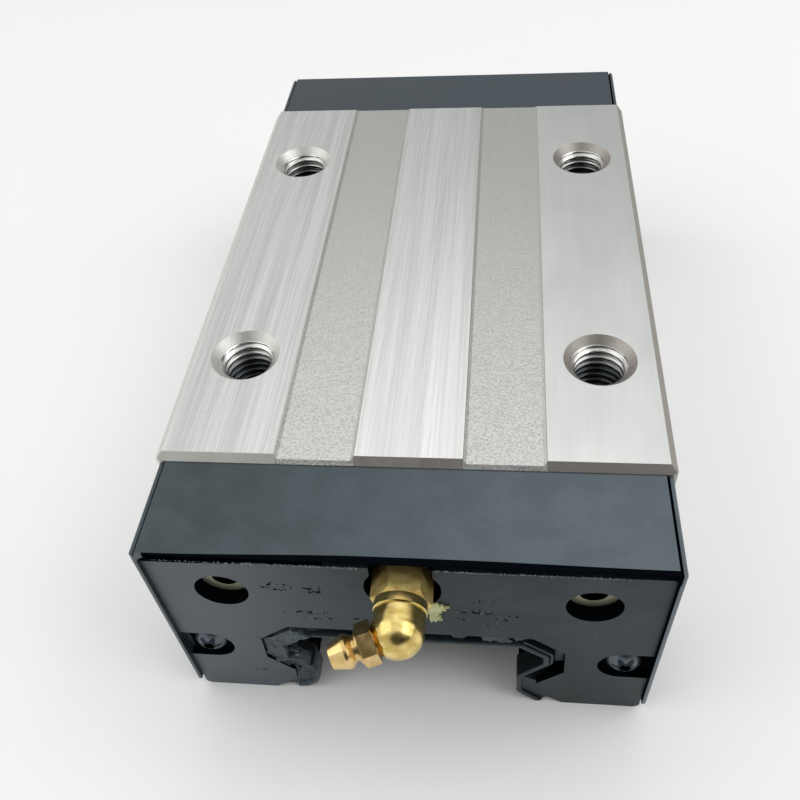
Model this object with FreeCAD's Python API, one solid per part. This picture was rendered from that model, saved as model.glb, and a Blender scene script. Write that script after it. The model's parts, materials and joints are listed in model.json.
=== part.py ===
"""Roller guide carriage, square type, size 55, with an elbow grease nipple.

Millimetres. The origin is the centre of the ground top face, +Z points up out of that face,
+Y runs along the rail towards the plugged end, and -Y towards the nipple end.
Everything below the top face therefore has a negative z. What has to fit the rail is measured up
from the underside of the legs, so a taller body only adds steel above the rail.
"""

import FreeCAD
import Part
import math
import os
from FreeCAD import Vector

# ---------------------------------------------------------------- steel body
BODY_W = 100.0            # width over the two reference sides
BODY_L = 131.6            # length of the steel body alone
BODY_H = 57.2             # top face to the underside of the legs
EDGE_CHAMFER = 1.4        # round the top face
CORNER_CHAMFERS = {-1: 0.7, 1: 2.6}     # upright corners, nipple end and plugged end
FOOT_CHAMFER = 2.0        # outer lower edges of the legs
CEILING_UP = 28.8         # inside top of the saddle, above the underside
PAD_HALF_W = 10.4         # ground centre pad
OUTER_PAD_X = 26.2        # inner edge of the outer pads
RELIEF_DEPTH = 0.7        # blasted strips between the pads
RELIEF_SLOPE = 0.7        # sideways run of each strip's sloped sides
SIDE_BAND_H = 34.0        # the ground side band, from the top face down
SIDE_RELIEF_DEPTH = 0.5
FOOT_WALL_UP = 4.3        # inner wall of the leg ends and flares out for the bottom seal
FOOT_STEP_UP = 1.6
FOOT_FLARE = 3.6
FOOT_LIP = 1.4

# ---------------------------------------------------------------- table bolts
BOLT_SPACING_X = 75.0
BOLT_SPACING_Y = 75.0
TAP_R = 5.95              # M12 thread cut out to its major diameter
TAP_DEPTH = 19.0
TAP_MOUTH_R = 7.5         # 90 degree countersink
DRILL_TIP_SLOPE = math.tan(math.radians(31.0))

# ---------------------------------------------------------------- rail that the block runs on
LOBE_X = 26.5             # half width of the rail head
FLANK_X = 23.9            # middle of both raceway flanks
FLANK_TOP_UP = 21.8       # upper and lower raceway edges, above the underside of the block
FLANK_LOW_UP = 14.2

# ---------------------------------------------------------------- rollers and their loops
ROLLER_R = 2.5
ROLLER_L = 6.0
ROLLERS_PER_LOOP = 42
LOOP_PITCH = 9.0          # load row centre to return bore centre
RACE_CLEAR = 0.05         # between a roller and the body's raceway
LOAD_MARGIN = 1.05        # raceway length past the roller at its upper and lower end
PASSAGE_CLEAR = 0.1       # round the rollers in the return passages
CAGE_BAND = 0.35          # thickness of the cage's side bands
CAGE_BAND_H = 1.6
CAGE_GAP = 0.1            # band to roller end
SPACER_T = 1.2
BAND_CLEAR = 0.1
GUIDE_CLEAR = 0.1
GUIDE_TENON = 1.0         # guide ends past the cage bands, in the cap
GUIDE_BAR_W = 2.6
GUIDE_BAR_T = 1.8
TUBE_R = 4.45
TUBE_CLEAR = 0.05
RETAINER_CLEAR = 0.1
RETAINER_GAP = 0.2        # upper retainer to inner seal
RETAINER_BEVEL = 0.8
RETAINER_LIP = 1.35       # how far the retainers reach over the roller ends, from the row centre
RETAINER_HEEL = ((0.0, -0.2), (-2.2, 0.5), (-2.7, 1.3))   # lower retainer beside the foot step
SEAL_ROOT = 0.7           # bottom seal starts this far under the leg's inner wall
BOTTOM_SEAL_FOOT = 1.9
SEAL_CORNER_CLEAR = 0.16  # in the corner of the flare
BOTTOM_SEAL_LIP = ((-0.3, -2.3), (-1.2, -1.6), (-1.3, -0.9))     # from its root

# ---------------------------------------------------------------- end caps
CAP_L = 21.0
CAP_W = 98.4
CAP_H = 55.6
CAP_SIDE_UP = 3.4         # the side walls end this far above the underside
CAP_INNER_W = 94.6        # width of the inner part below the side walls
CAP_FOOT_CHAMFER = 1.5
CAP_CREST_CLEAR = 1.1     # cap opening to the rail head
CAP_WAIST_X = 22.4
CAP_TOP_X = 22.0
CAP_FOOT_UP = 4.0         # where the opening starts to widen towards the floor
CAP_FOOT_RUN = 4.2
CAP_CORNER_R = 0.6        # upright outer edges at the plate's end
DECK_HALF_W = 47.9        # flat top deck
DECK_GROOVE = 0.45
DECK_GROOVE_DEPTH = 0.8
LEDGE_DROP = 0.45         # outer strip below the deck
LEDGE_CHAMFER = 0.3
RIM_T = 1.0               # side wall in front of the face plate
RIM_TOP_T = 1.2
RIM_EDGE_T = 0.4          # front edge of the top wall, which thickens inwards
RIM_INNER_R = 2.0
RIM_H = 2.6               # how far the rim stands in front of the plate seat
TOP_GAP_DEPTH = 4.5       # dark slot above the plate
TOP_GAP_DROP = 0.4        # the slot reaches this far behind the plate's upper edge

# ---------------------------------------------------------------- face plates
PLATE_T = 1.6
PLATE_TOP_DROP = 3.4      # cap deck to upper edge
PLATE_DROP = 0.6          # lower edge, below the underside of the block
PLATE_CLEAR = 0.05        # plate to rim, each side
PLATE_TOP_R = 0.8
PLATE_LOW_R = 1.5
PORT_X = 35.0
PORT_DROP = 13.8          # cap deck to the middle of the round windows
PORT_R = 5.25
BUSH_R = 5.0
BUSH_BORE_R = 2.7
BUSH_L = 6.0
BUSH_CLEAR = 0.05
BUSH_SINK = 3.0           # plate front to bush front
ACCESSORY_R = 2.45        # M5 thread in the body behind each bush
ACCESSORY_DEPTH = 12.0
SLOT_UP = 18.6
SLOT_R = 4.9
SLOT_X = 42.5             # centre of the slot's round end
NOTCH_R = 7.2
NOTCH_HALF_W = 0.8 * NOTCH_R
OPENING_TOP_X = 0.6       # plate opening, past the raceway flank at its upper corner
OPENING_TOP_H = 6.5
OPENING_CREST_X = 4.5     # past the rail head, at the upper raceway edge
OPENING_CREST_H = 0.8
OPENING_HEEL_X = 4.8      # and at the lower raceway edge
OPENING_WAIST_X = 2.1     # past the raceway flank
OPENING_WAIST_H = 5.8
OPENING_LEG_X = 2.5
OPENING_LEG_UP = 4.3
OPENING_ANKLE_X = 4.9
OPENING_ANKLE_UP = 1.9
OPENING_FOOT_X = 8.0

# ---------------------------------------------------------------- cap screws, M4 button heads
SCREW_X = 43.0
SCREW_R = 1.98
SCREW_HOLE_R = 2.05
SCREW_CAP_CLEAR = 0.15    # wider still through the cap
SCREW_HEAD_R = 3.6
SCREW_HEAD_H = 2.2
SCREW_BITE = 8.0          # length in the steel body
SCREW_END_GAP = 1.5       # hole past the end of the screw
SOCKET_R = 1.35
SOCKET_CORE_R = 1.05
SOCKET_LOBE_R = 0.4
SOCKET_DEPTH = 1.3
SCREW_DOME_EXTRA = 0.4    # flatter than a dome that meets the head's rim

# ---------------------------------------------------------------- seals
SEAL_BASE_T = 3.3
SEAL_BASE_W = 4.0         # how far the base reaches behind the plate
SEAL_WEB_T = 1.0          # rubber left at the bottom of the groove round the lip
SEAL_CLEAR = 0.1          # round the base, in the cap
SEAL_GROOVE_PAST = 0.5    # the groove reaches this far under the plate
SEAL_TOE_LIFT = 0.3       # the base ends on a slant below the plate opening's foot
SEAL_TOE_RUN = 2.2
LIP_T = 1.3
LIP_WAIST_X = 21.8
LIP_WAIST_H = 3.1         # below the lower raceway edge
LIP_TOP_H = 2.4           # ends of the lip over the upper raceway edge
LIP_CREST_H = 0.6         # over the crest of the rail head
LIP_HEEL_H = 0.4
LIP_FOOT_UP = 3.6         # lower end of the lip's waist
LIP_LEG_X = 0.1
LIP_FOOT_X = 4.1
LIP_GAP = 0.45            # lip to the rail head
INNER_SEAL_X = 17.4
INNER_SEAL_W = 3.0
INNER_SEAL_H = 3.9
INNER_SEAL_ROOT_H = 1.4
INNER_SEAL_FIN = (0.6, 1.1, 1.5)     # tip from and to, and where the fin meets the root

# ---------------------------------------------------------------- grease fitting
ELBOW_DROP = 10.4         # cap deck to the middle of the port
ELBOW_HEX_AF = 10.0
ELBOW_HEX_TURN = 10.0     # degrees, as it happened to tighten up
ELBOW_SEAT = 1.9          # hex seat behind the plate's back
ELBOW_HEX_L = 6.4
ELBOW_COLLAR_R = 5.0
ELBOW_COLLAR_L = 2.0
ELBOW_GROOVE_R = 4.6
ELBOW_GROOVE_L = 0.4
ELBOW_R = 4.85
ELBOW_ARM = 5.6           # hex front to the middle of the bend
ELBOW_SHANK_R = 4.85
ELBOW_SHANK_L = 8.0
ELBOW_SHANK_CHAMFER = 0.6
ELBOW_BORE_R = 1.75
ELBOW_EDGE = 0.2          # edge of the collar
HEX_BEVEL = 0.6           # turned bevel on a hex head, length to height
TURN_CLEAR = 0.05         # the bevel starts this far outside the corners
THREAD_CLEAR = 0.05
THREAD_RUN_OUT = 0.3
NIPPLE_FORWARD = 20.4     # degrees the nipple leans away from the block
NIPPLE_DOWN = 9.5         # degrees it points below the horizontal
NIPPLE_SEAT = 4.25        # bend centre to the nipple's hex
NIPPLE_HEX_AF = 7.0
NIPPLE_HEX_L = 2.9
NIPPLE_HEX_TURN = 30.0
NIPPLE_SHANK_R = 2.45
NIPPLE_SHANK_L = 2.3
NIPPLE_COLLAR_R = 3.05
NIPPLE_COLLAR_L = 0.35
NIPPLE_NECK_R = 2.3
NIPPLE_NECK_L = 0.8
NIPPLE_HEAD_R = 3.15
NIPPLE_BACK_L = 1.0       # rising cone behind the head
NIPPLE_LAND_L = 0.6
NIPPLE_NOSE_L = 2.75
NIPPLE_TIP_R = 2.2
NIPPLE_MOUTH_R = 1.0
NIPPLE_MOUTH_L = 0.25
NIPPLE_SEAT_L = 0.45      # cone behind the mouth that the ball closes
NIPPLE_WAY_R = 0.9        # way into the elbow
NIPPLE_HEX_EDGE = 0.3
NIPPLE_HEX_BEVEL = 0.5
NIPPLE_HEX_FOOT = 0.2
NIPPLE_BORE_R = 1.45
BALL_R = 1.25
BALL_CLEAR = 0.03
SPRING_R = 1.0
SPRING_WIRE_R = 0.17
SPRING_TURNS = 6
SPRING_L = 5.0
SPRING_PLAY = 0.05        # at each end
PORT_BORE_R = 4.9         # tapped port in the caps
PORT_POCKET_R = 7.4
GREASE_DUCT_R = 1.5
GROOVE_W = 2.0
GROOVE_DEPTH = 1.6
GROOVE_X = 38.0
GROOVE_START = 1.0        # branches start this far out from the return bores
PLUG_HEX_R = 2.6
PLUG_HEX_DEPTH = 4.0
PLUG_EDGE = 0.4

# ---------------------------------------------------------------- worked out from the above
DIAG = math.sqrt(0.5)
END_Y = BODY_L / 2.0
BASE_Z = -BODY_H
CEILING_Z = BASE_Z + CEILING_UP
FLANK_TOP_Z = BASE_Z + FLANK_TOP_UP
FLANK_LOW_Z = BASE_Z + FLANK_LOW_UP
CAP_TOP_Z = BASE_Z + CAP_H
PLATE_TOP_Z = CAP_TOP_Z - PLATE_TOP_DROP
PLATE_LOW_Z = BASE_Z - PLATE_DROP
PORT_Z = CAP_TOP_Z - PORT_DROP
SLOT_Z = BASE_Z + SLOT_UP
ELBOW_Z = CAP_TOP_Z - ELBOW_DROP
PLATE_SEAT = CAP_L - RIM_H                 # cap depth at which the face plate sits
PLATE_FRONT = PLATE_SEAT + PLATE_T
MIRROR_Z = (FLANK_TOP_Z + FLANK_LOW_Z) / 2.0
ROW_X = FLANK_X + ROLLER_R * DIAG          # centre of the loaded rollers
ROW_DZ = (FLANK_TOP_Z - FLANK_LOW_Z) / 2.0 + ROLLER_R * DIAG
RETURN_X = ROW_X + LOOP_PITCH * DIAG
RETURN_DZ = ROW_DZ + LOOP_PITCH * DIAG
BEND_R = LOOP_PITCH / 2.0
BAND_OUT = ROLLER_L / 2.0 + CAGE_GAP + CAGE_BAND
PASSAGE_HALF = ROLLER_L / 2.0 + PASSAGE_CLEAR
PASSAGE_R = ROLLER_R + PASSAGE_CLEAR
GROOVE_HALF = CAGE_BAND_H / 2.0 + BAND_CLEAR
HEAD_CREST_Z = FLANK_TOP_Z - (LOBE_X - FLANK_X)     # upper corner of the rail head's upright side
HEAD_HEEL_Z = FLANK_LOW_Z + (LOBE_X - FLANK_X)
OPENING = ((FLANK_X + OPENING_TOP_X, FLANK_TOP_Z + OPENING_TOP_H),
           (LOBE_X + OPENING_CREST_X, FLANK_TOP_Z + OPENING_CREST_H),
           (LOBE_X + OPENING_HEEL_X, FLANK_LOW_Z),
           (FLANK_X + OPENING_WAIST_X, FLANK_LOW_Z - OPENING_WAIST_H),
           (FLANK_X + OPENING_LEG_X, BASE_Z + OPENING_LEG_UP),
           (FLANK_X + OPENING_ANKLE_X, BASE_Z + OPENING_ANKLE_UP),
           (FLANK_X + OPENING_FOOT_X, PLATE_LOW_Z))
LIP = ((LIP_WAIST_X, FLANK_TOP_Z + LIP_TOP_H), (LOBE_X + LIP_GAP, HEAD_CREST_Z + LIP_CREST_H),
       (LOBE_X + LIP_GAP, HEAD_HEEL_Z + LIP_HEEL_H), (LIP_WAIST_X, FLANK_LOW_Z - LIP_WAIST_H),
       (LIP_WAIST_X + LIP_LEG_X, BASE_Z + LIP_FOOT_UP), (LIP_WAIST_X + LIP_FOOT_X, PLATE_LOW_Z))
SIDES = (("left", -1), ("right", 1))
LEVELS = (("upper", 1), ("lower", -1))
ENDS = (("front", False), ("rear", True))


def prism(points, y0, y1):
    """Closed outline in x and z, extruded from y0 to y1."""
    wire = Part.makePolygon([Vector(x, y0, z) for x, z in points + points[:1]])
    return Part.Face(wire).extrude(Vector(0, y1 - y0, 0))


def bar_across(points, half_width):
    """Closed outline in y and z, extruded evenly to both sides of the middle."""
    wire = Part.makePolygon([Vector(-half_width, y, z) for y, z in points + points[:1]])
    return Part.Face(wire).extrude(Vector(2 * half_width, 0, 0))


def box(x0, x1, y0, y1, z0, z1):
    return Part.makeBox(x1 - x0, y1 - y0, z1 - z0, Vector(x0, y0, z0))


def rod(start, axis, radius, length):
    return Part.makeCylinder(radius, length, Vector(*start), Vector(*axis))


def mirrored(points):
    """Right half outline from top to bottom, completed to the left."""
    return list(points) + [(-x, z) for x, z in reversed(points)]


def placed(shape, rear):
    """Pieces are drawn for the front end; the rear end is the same turned half round."""
    if rear:
        shape = shape.copy()
        shape.rotate(Vector(0, 0, 0), Vector(0, 0, 1), 180)
    return shape


def front_y(depth):
    """y of a plane that lies depth in front of the body's front end face."""
    return -END_Y - depth


def save(name, *shapes):
    shape = shapes[0] if len(shapes) == 1 else Part.makeCompound(list(shapes))
    shape.exportStep("parts/" + name + ".step")


def row(side, level):
    """Frame of one roller row: load centre, direction out to the return bore, roller axis."""
    out = Vector(side * DIAG, 0, level * DIAG)
    axis = Vector(side * DIAG, 0, -level * DIAG)
    return Vector(side * ROW_X, 0, MIRROR_Z + level * ROW_DZ), out, axis


def row_point(u, w):
    """Point beside the upper right row, u out from its centre and w along its rollers."""
    return ROW_X + (u + w) * DIAG, MIRROR_Z + ROW_DZ + (u - w) * DIAG


def below(points):
    """The same points beside the lower row."""
    return [(x, 2 * MIRROR_Z - z) for x, z in points]


def offset(points, gap):
    """Open outline moved sideways by gap, away from the middle of the block."""
    lines = []
    for (x0, z0), (x1, z1) in zip(points, points[1:]):
        length = math.hypot(x1 - x0, z1 - z0)
        nx, nz = -(z1 - z0) / length * gap, (x1 - x0) / length * gap
        lines.append(((x0 + nx, z0 + nz), (x1 - x0, z1 - z0), (x1 + nx, z1 + nz)))
    moved = [lines[0][0]]
    for (p, d, _), (q, e, _) in zip(lines, lines[1:]):
        cross = d[0] * e[1] - d[1] * e[0]
        t = ((q[0] - p[0]) * e[1] - (q[1] - p[1]) * e[0]) / cross
        moved.append((p[0] + d[0] * t, p[1] + d[1] * t))
    return moved + [lines[-1][2]]


# ---------------------------------------------------------------- steel body
def race_profile():
    """Inside of the right leg, from the ceiling down to the foot."""
    reach = ROLLER_R + RACE_CLEAR
    half = ROLLER_L / 2.0 + LOAD_MARGIN
    crown_x, crown_z = row_point(reach, -half)
    wall_x, wall_z = row_point(reach, ROLLER_L / 2.0 + 2 * LOAD_MARGIN)
    crown_x -= CEILING_Z - crown_z if crown_z < CEILING_Z else 0.0
    upper = [(crown_x, CEILING_Z), (wall_x, wall_z)]
    toe_x, toe_z = row_point(reach, -PASSAGE_HALF)
    lower = below([(wall_x, wall_z), (toe_x, toe_z)])
    flare_x = lower[-1][0] + FOOT_FLARE
    foot = [(lower[-1][0], BASE_Z + FOOT_WALL_UP), (flare_x, BASE_Z + FOOT_STEP_UP),
            (flare_x + FOOT_LIP, BASE_Z)]
    return upper + lower + foot


def steel_block():
    half = BODY_W / 2.0
    inset = half - SIDE_RELIEF_DEPTH
    top = [(PAD_HALF_W, 0), (PAD_HALF_W + RELIEF_SLOPE, -RELIEF_DEPTH),
           (OUTER_PAD_X - RELIEF_SLOPE, -RELIEF_DEPTH), (OUTER_PAD_X, 0),
           (half - EDGE_CHAMFER, 0), (half, -EDGE_CHAMFER), (half, -SIDE_BAND_H),
           (inset, -SIDE_BAND_H - SIDE_RELIEF_DEPTH), (inset, BASE_Z + FOOT_CHAMFER),
           (inset - FOOT_CHAMFER, BASE_Z)]
    outline = top + list(reversed(race_profile()))
    outline += [(-x, z) for x, z in reversed(outline)]
    body = prism(outline, -END_Y, END_Y)
    for end in (-1, 1):
        body = body.cut(bar_across([(end * (END_Y + 1), -EDGE_CHAMFER - 1),
                                    (end * (END_Y - EDGE_CHAMFER - 1), 1),
                                    (end * (END_Y + 1), 1)], half + 1))
        bevel = CORNER_CHAMFERS[end]
        for side in (-1, 1):
            corner = Part.makePolygon([Vector(side * x, end * y, BASE_Z - 1) for x, y in (
                (half + 1, END_Y - bevel - 1), (half + 1, END_Y + 1),
                (half - bevel - 1, END_Y + 1), (half + 1, END_Y - bevel - 1))])
            body = body.cut(Part.Face(corner).extrude(Vector(0, 0, BODY_H + 2)))
    cuts = [tapped_hole(sx * BOLT_SPACING_X / 2, sy * BOLT_SPACING_Y / 2)
            for sx in (-1, 1) for sy in (-1, 1)]
    for _, side in SIDES:
        for _, level in LEVELS:
            load, out, _ = row(side, level)
            bore = load + out * LOOP_PITCH
            cuts.append(rod((bore.x, -END_Y - 1, bore.z), (0, 1, 0), TUBE_R + TUBE_CLEAR, BODY_L + 2))
        for end in (-1, 1):
            depth = SCREW_BITE + SCREW_END_GAP
            cuts.append(rod((side * SCREW_X, end * END_Y, SLOT_Z), (0, -end, 0), SCREW_HOLE_R, depth))
            cuts.append(rod((side * PORT_X, end * END_Y, PORT_Z), (0, -end, 0), ACCESSORY_R, ACCESSORY_DEPTH))
    return body.cut(Part.makeCompound(cuts))


def tapped_hole(x, y):
    sink = TAP_MOUTH_R - TAP_R
    tip = TAP_R * DRILL_TIP_SLOPE
    shape = Part.makeCone(TAP_MOUTH_R, TAP_R, sink, Vector(x, y, 0), Vector(0, 0, -1))
    shape = shape.fuse(rod((x, y, 0), (0, 0, -1), TAP_R, TAP_DEPTH))
    return shape.fuse(Part.makeCone(TAP_R, 0, tip, Vector(x, y, -TAP_DEPTH), Vector(0, 0, -1)))


# ---------------------------------------------------------------- roller loops
def loop_positions():
    """Centre of each roller on its loop, as distance out from the load row and y."""
    arc = math.pi * BEND_R
    pitch = (2 * BODY_L + 2 * arc) / ROLLERS_PER_LOOP
    spots = []
    for step in range(2 * ROLLERS_PER_LOOP):
        s = (step * pitch / 2.0 + pitch / 4.0) % (2 * BODY_L + 2 * arc)
        if s < BODY_L:
            spots.append((0.0, s - END_Y, 0.0))
        elif s < BODY_L + arc:
            turn = (s - BODY_L) / BEND_R
            spots.append((BEND_R * (1 - math.cos(turn)), END_Y + BEND_R * math.sin(turn), turn))
        elif s < 2 * BODY_L + arc:
            spots.append((LOOP_PITCH, END_Y - (s - BODY_L - arc), math.pi))
        else:
            turn = (s - 2 * BODY_L - arc) / BEND_R
            spots.append((BEND_R * (1 + math.cos(turn)), -END_Y - BEND_R * math.sin(turn),
                          math.pi + turn))
    return spots[0::2], spots[1::2]


def along(start, axis, radius, half_length):
    """Cylinder centred on a point."""
    return rod(start - axis * half_length, axis, radius, 2 * half_length)


def rollers(side, level):
    load, out, axis = row(side, level)
    return [along(load + out * u + Vector(0, y, 0), axis, ROLLER_R, ROLLER_L / 2.0)
            for u, y, _ in loop_positions()[0]]


def race_track(load, out, axis, radius, w0, w1):
    """Solid loop slab: everything within radius of the straight between both bend centres."""
    middle = load + out * BEND_R
    start = middle + axis * w0
    length = w1 - w0
    ends = [rod(start + Vector(0, y, 0), axis, radius, length) for y in (-END_Y, END_Y)]
    corners = [start + out * (u * radius) + Vector(0, y, 0)
               for u, y in ((-1, -END_Y), (1, -END_Y), (1, END_Y), (-1, END_Y), (-1, -END_Y))]
    slab = Part.Face(Part.makePolygon(corners)).extrude(axis * length)
    return slab.fuse(ends).removeSplitter()


def cage(side, level):
    """Two side bands joined by the spacers that keep the rollers apart."""
    load, out, axis = row(side, level)
    bands = []
    for w0 in (-BAND_OUT, BAND_OUT - CAGE_BAND):
        ring = race_track(load, out, axis, BEND_R + CAGE_BAND_H / 2.0, w0, w0 + CAGE_BAND)
        bands.append(ring.cut(race_track(load, out, axis, BEND_R - CAGE_BAND_H / 2.0, w0, w0 + CAGE_BAND)))
    half_w = BAND_OUT - CAGE_BAND / 2.0
    half_h = CAGE_BAND_H / 2.0
    spacers = []
    for u, y, turn in loop_positions()[1]:
        centre = load + out * u + Vector(0, y, 0)
        travel = out * math.sin(turn) + Vector(0, math.cos(turn), 0)
        lift = axis.cross(travel)
        spacers.append(bar_about(centre, travel * (SPACER_T / 2), lift * half_h, axis * half_w))
    return bands[0].fuse([bands[1]] + spacers).removeSplitter()


def bar_about(centre, half_a, half_b, half_c):
    """Block centred on a point, from its three half edges."""
    corner = centre - half_a - half_b - half_c
    edge = [corner, corner + half_a * 2, corner + half_a * 2 + half_b * 2, corner + half_b * 2, corner]
    return Part.Face(Part.makePolygon(edge)).extrude(half_c * 2)


def return_tube(side, level):
    """Liner of a return bore, with a passage that guides rollers and cage bands."""
    load, out, axis = row(side, level)
    centre = load + out * LOOP_PITCH
    tube = rod((centre.x, -END_Y, centre.z), (0, 1, 0), TUBE_R, BODY_L)
    for half_u, half_w in ((PASSAGE_R, PASSAGE_HALF), (GROOVE_HALF, BAND_OUT + BAND_CLEAR)):
        tube = tube.cut(bar_about(centre, out * half_u, axis * half_w, Vector(0, END_Y + 1, 0)))
    return tube


# ---------------------------------------------------------------- roller retainers
def groove_face(u0, u1, w, deeper):
    """Retainer face beside the roller ends, with the groove that holds the cage band."""
    return [row_point(u0, w), row_point(-GROOVE_HALF, w), row_point(-GROOVE_HALF, w + deeper),
            row_point(GROOVE_HALF, w + deeper), row_point(GROOVE_HALF, w), row_point(u1, w)]


def retainers(side):
    """Upper, middle and lower retainer of one leg, as extruded bars."""
    face_w = PASSAGE_HALF
    groove = BAND_OUT + BAND_CLEAR - face_w
    top_u = ROLLER_R + RACE_CLEAR - RETAINER_CLEAR
    wall_x, wall_z = race_profile()[1]
    inner = groove_face(-RETAINER_LIP, top_u, face_w, groove)
    heel_w = (wall_x - RETAINER_CLEAR - ROW_X) / DIAG - top_u
    middle = inner + [row_point(top_u, heel_w)]
    middle = middle + list(reversed(below(middle)))
    edge = groove_face(-RETAINER_LIP, top_u, -face_w, -groove)
    crown_x = ROW_X + MIRROR_Z + ROW_DZ + 2 * top_u * DIAG - (CEILING_Z - RETAINER_CLEAR)
    seal_x = INNER_SEAL_X + INNER_SEAL_W + RETAINER_GAP
    upper = edge + [(crown_x, CEILING_Z - RETAINER_CLEAR), (seal_x, CEILING_Z - RETAINER_CLEAR),
                    (seal_x, edge[0][1] + RETAINER_BEVEL), (seal_x + RETAINER_BEVEL, edge[0][1])]
    toe_x = race_profile()[3][0] - RETAINER_CLEAR
    foot = below(edge)
    heel_z = BASE_Z + FOOT_WALL_UP
    foot = foot[:-1] + [(toe_x, foot[-1][1])] + [(toe_x + x, heel_z + z) for x, z in RETAINER_HEEL]
    return [prism([(side * x, z) for x, z in outline], -END_Y, END_Y)
            for outline in (upper, middle, foot)]


def bottom_seal(side):
    """Rubber strip under the leg, whose lip wipes the sloped foot of the rail."""
    flare = race_profile()[-3:]
    gap = RETAINER_CLEAR
    root_x, root_z = flare[0][0] - gap / 2, flare[0][1] - SEAL_ROOT
    outline = [(root_x, root_z), (flare[1][0] - gap / 2, flare[1][1] - SEAL_CORNER_CLEAR),
               (flare[2][0] - gap, BASE_Z), (flare[2][0] - BOTTOM_SEAL_FOOT, BASE_Z)]
    outline += [(root_x + x, root_z + z) for x, z in BOTTOM_SEAL_LIP]
    return prism([(side * x, z) for x, z in outline], -END_Y, END_Y)


def inner_seal(side):
    """Rubber strip under the ceiling, beside the upper retainer, that wipes the rail's top."""
    top = CEILING_Z - RETAINER_CLEAR
    inner, outer = INNER_SEAL_X, INNER_SEAL_X + INNER_SEAL_W
    tip = top - INNER_SEAL_H
    root = top - INNER_SEAL_ROOT_H
    tip_in, tip_out, fin = (inner + reach for reach in INNER_SEAL_FIN)
    outline = [(inner, top), (outer, top), (outer, root), (fin, root), (tip_out, tip), (tip_in, tip),
               (inner, root)]
    return prism([(side * x, z) for x, z in outline], -END_Y, END_Y)


# ---------------------------------------------------------------- end caps
def cap_outline():
    """Right half of the cap's outside, from the deck to the inner part's underside."""
    half = CAP_W / 2.0
    inner = CAP_INNER_W / 2.0
    deck = CAP_TOP_Z
    side_z = BASE_Z + CAP_SIDE_UP
    ledge = deck - LEDGE_DROP
    return [(DECK_HALF_W, deck), (DECK_HALF_W, deck - DECK_GROOVE_DEPTH),
            (DECK_HALF_W + DECK_GROOVE, deck - DECK_GROOVE_DEPTH), (DECK_HALF_W + DECK_GROOVE, ledge),
            (half - LEDGE_CHAMFER, ledge), (half, ledge - LEDGE_CHAMFER), (half, side_z), (inner, side_z),
            (inner, BASE_Z + CAP_FOOT_CHAMFER), (inner - CAP_FOOT_CHAMFER, BASE_Z)]


def cap_opening():
    """Right half of the cap's rail opening, a little clear of the rail and the seal lip."""
    crest = (LOBE_X + CAP_CREST_CLEAR, HEAD_CREST_Z + CAP_CREST_CLEAR / 2)
    heel_z = 2 * MIRROR_Z - crest[1]
    return [(CAP_TOP_X, crest[1] + crest[0] - CAP_TOP_X), crest, (crest[0], heel_z),
            (CAP_WAIST_X, heel_z - crest[0] + CAP_WAIST_X), (CAP_WAIST_X, BASE_Z + CAP_FOOT_UP),
            (CAP_WAIST_X + CAP_FOOT_RUN, BASE_Z)]


def end_cap():
    outer = cap_outline()
    opening = cap_opening()
    outline = outer + list(reversed(opening))
    outline += [(-x, z) for x, z in reversed(outline)]
    cap = prism(outline, front_y(CAP_L), front_y(0))
    half = CAP_W / 2.0
    corners = [e for e in cap.Edges
               if all(abs(abs(v.X) - half) < 1e-6 and v.Y < front_y(CAP_L) + 1e-6 for v in e.Vertexes)]
    cap = cap.makeFillet(CAP_CORNER_R, corners)
    seat = front_y(PLATE_SEAT)
    front = front_y(CAP_L) - 1
    slot_top = CAP_TOP_Z - RIM_TOP_T
    recess = box(-half + RIM_T, half - RIM_T, front, seat, BASE_Z - 1, slot_top)
    cuts = [recess.makeFillet(RIM_INNER_R, along_y(recess, slot_top))]
    slot_half = half - RIM_T - RIM_INNER_R
    thickening = (RIM_TOP_T - RIM_EDGE_T) / RIM_H
    cuts.append(bar_across([(front, slot_top), (front, CAP_TOP_Z - RIM_EDGE_T + thickening),
                            (seat, slot_top)], slot_half))
    cuts.append(box(-slot_half, slot_half, seat - 1, seat + TOP_GAP_DEPTH,
                    PLATE_TOP_Z - TOP_GAP_DROP, slot_top))
    pocket = seal_base(SEAL_BASE_W, BASE_Z - 1)
    cuts.append(prism(pocket, seat - 1, front_y(PLATE_SEAT - SEAL_BASE_T)))
    cuts.append(rod((0, front, ELBOW_Z), (0, 1, 0), PORT_POCKET_R, 1 + CAP_L - PLATE_SEAT + ELBOW_SEAT))
    cuts.append(box(-NOTCH_HALF_W, NOTCH_HALF_W, front, front_y(PLATE_SEAT - ELBOW_SEAT),
                    ELBOW_Z, slot_top))
    cuts.append(rod((0, front, ELBOW_Z), (0, 1, 0), PORT_BORE_R,
                    1 + CAP_L - PLATE_SEAT + ELBOW_SEAT + ELBOW_SHANK_L + ELBOW_SHANK_CHAMFER))
    cuts.append(rod((0, front, ELBOW_Z), (0, 1, 0), GREASE_DUCT_R, CAP_L + 2))
    cuts += grease_grooves()
    for _, side in SIDES:
        bush_front = PLATE_FRONT - BUSH_SINK
        cuts.append(rod((side * PORT_X, front, PORT_Z), (0, 1, 0), BUSH_R + BUSH_CLEAR,
                        1 + CAP_L - bush_front + BUSH_L))
        cuts.append(rod((side * PORT_X, front, PORT_Z), (0, 1, 0), BUSH_BORE_R, CAP_L + 2))
        cuts.append(rod((side * SCREW_X, front, SLOT_Z), (0, 1, 0), SCREW_HOLE_R + SCREW_CAP_CLEAR,
                        CAP_L + 2))
        cuts.append(guide_recess(side))
        for _, level in LEVELS:
            cuts.append(bend_cavity(side, level))
    return cut_each(cap, cuts)


def cut_each(shape, tools):
    for tool in tools:
        shape = shape.cut(tool)
    return shape


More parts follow.
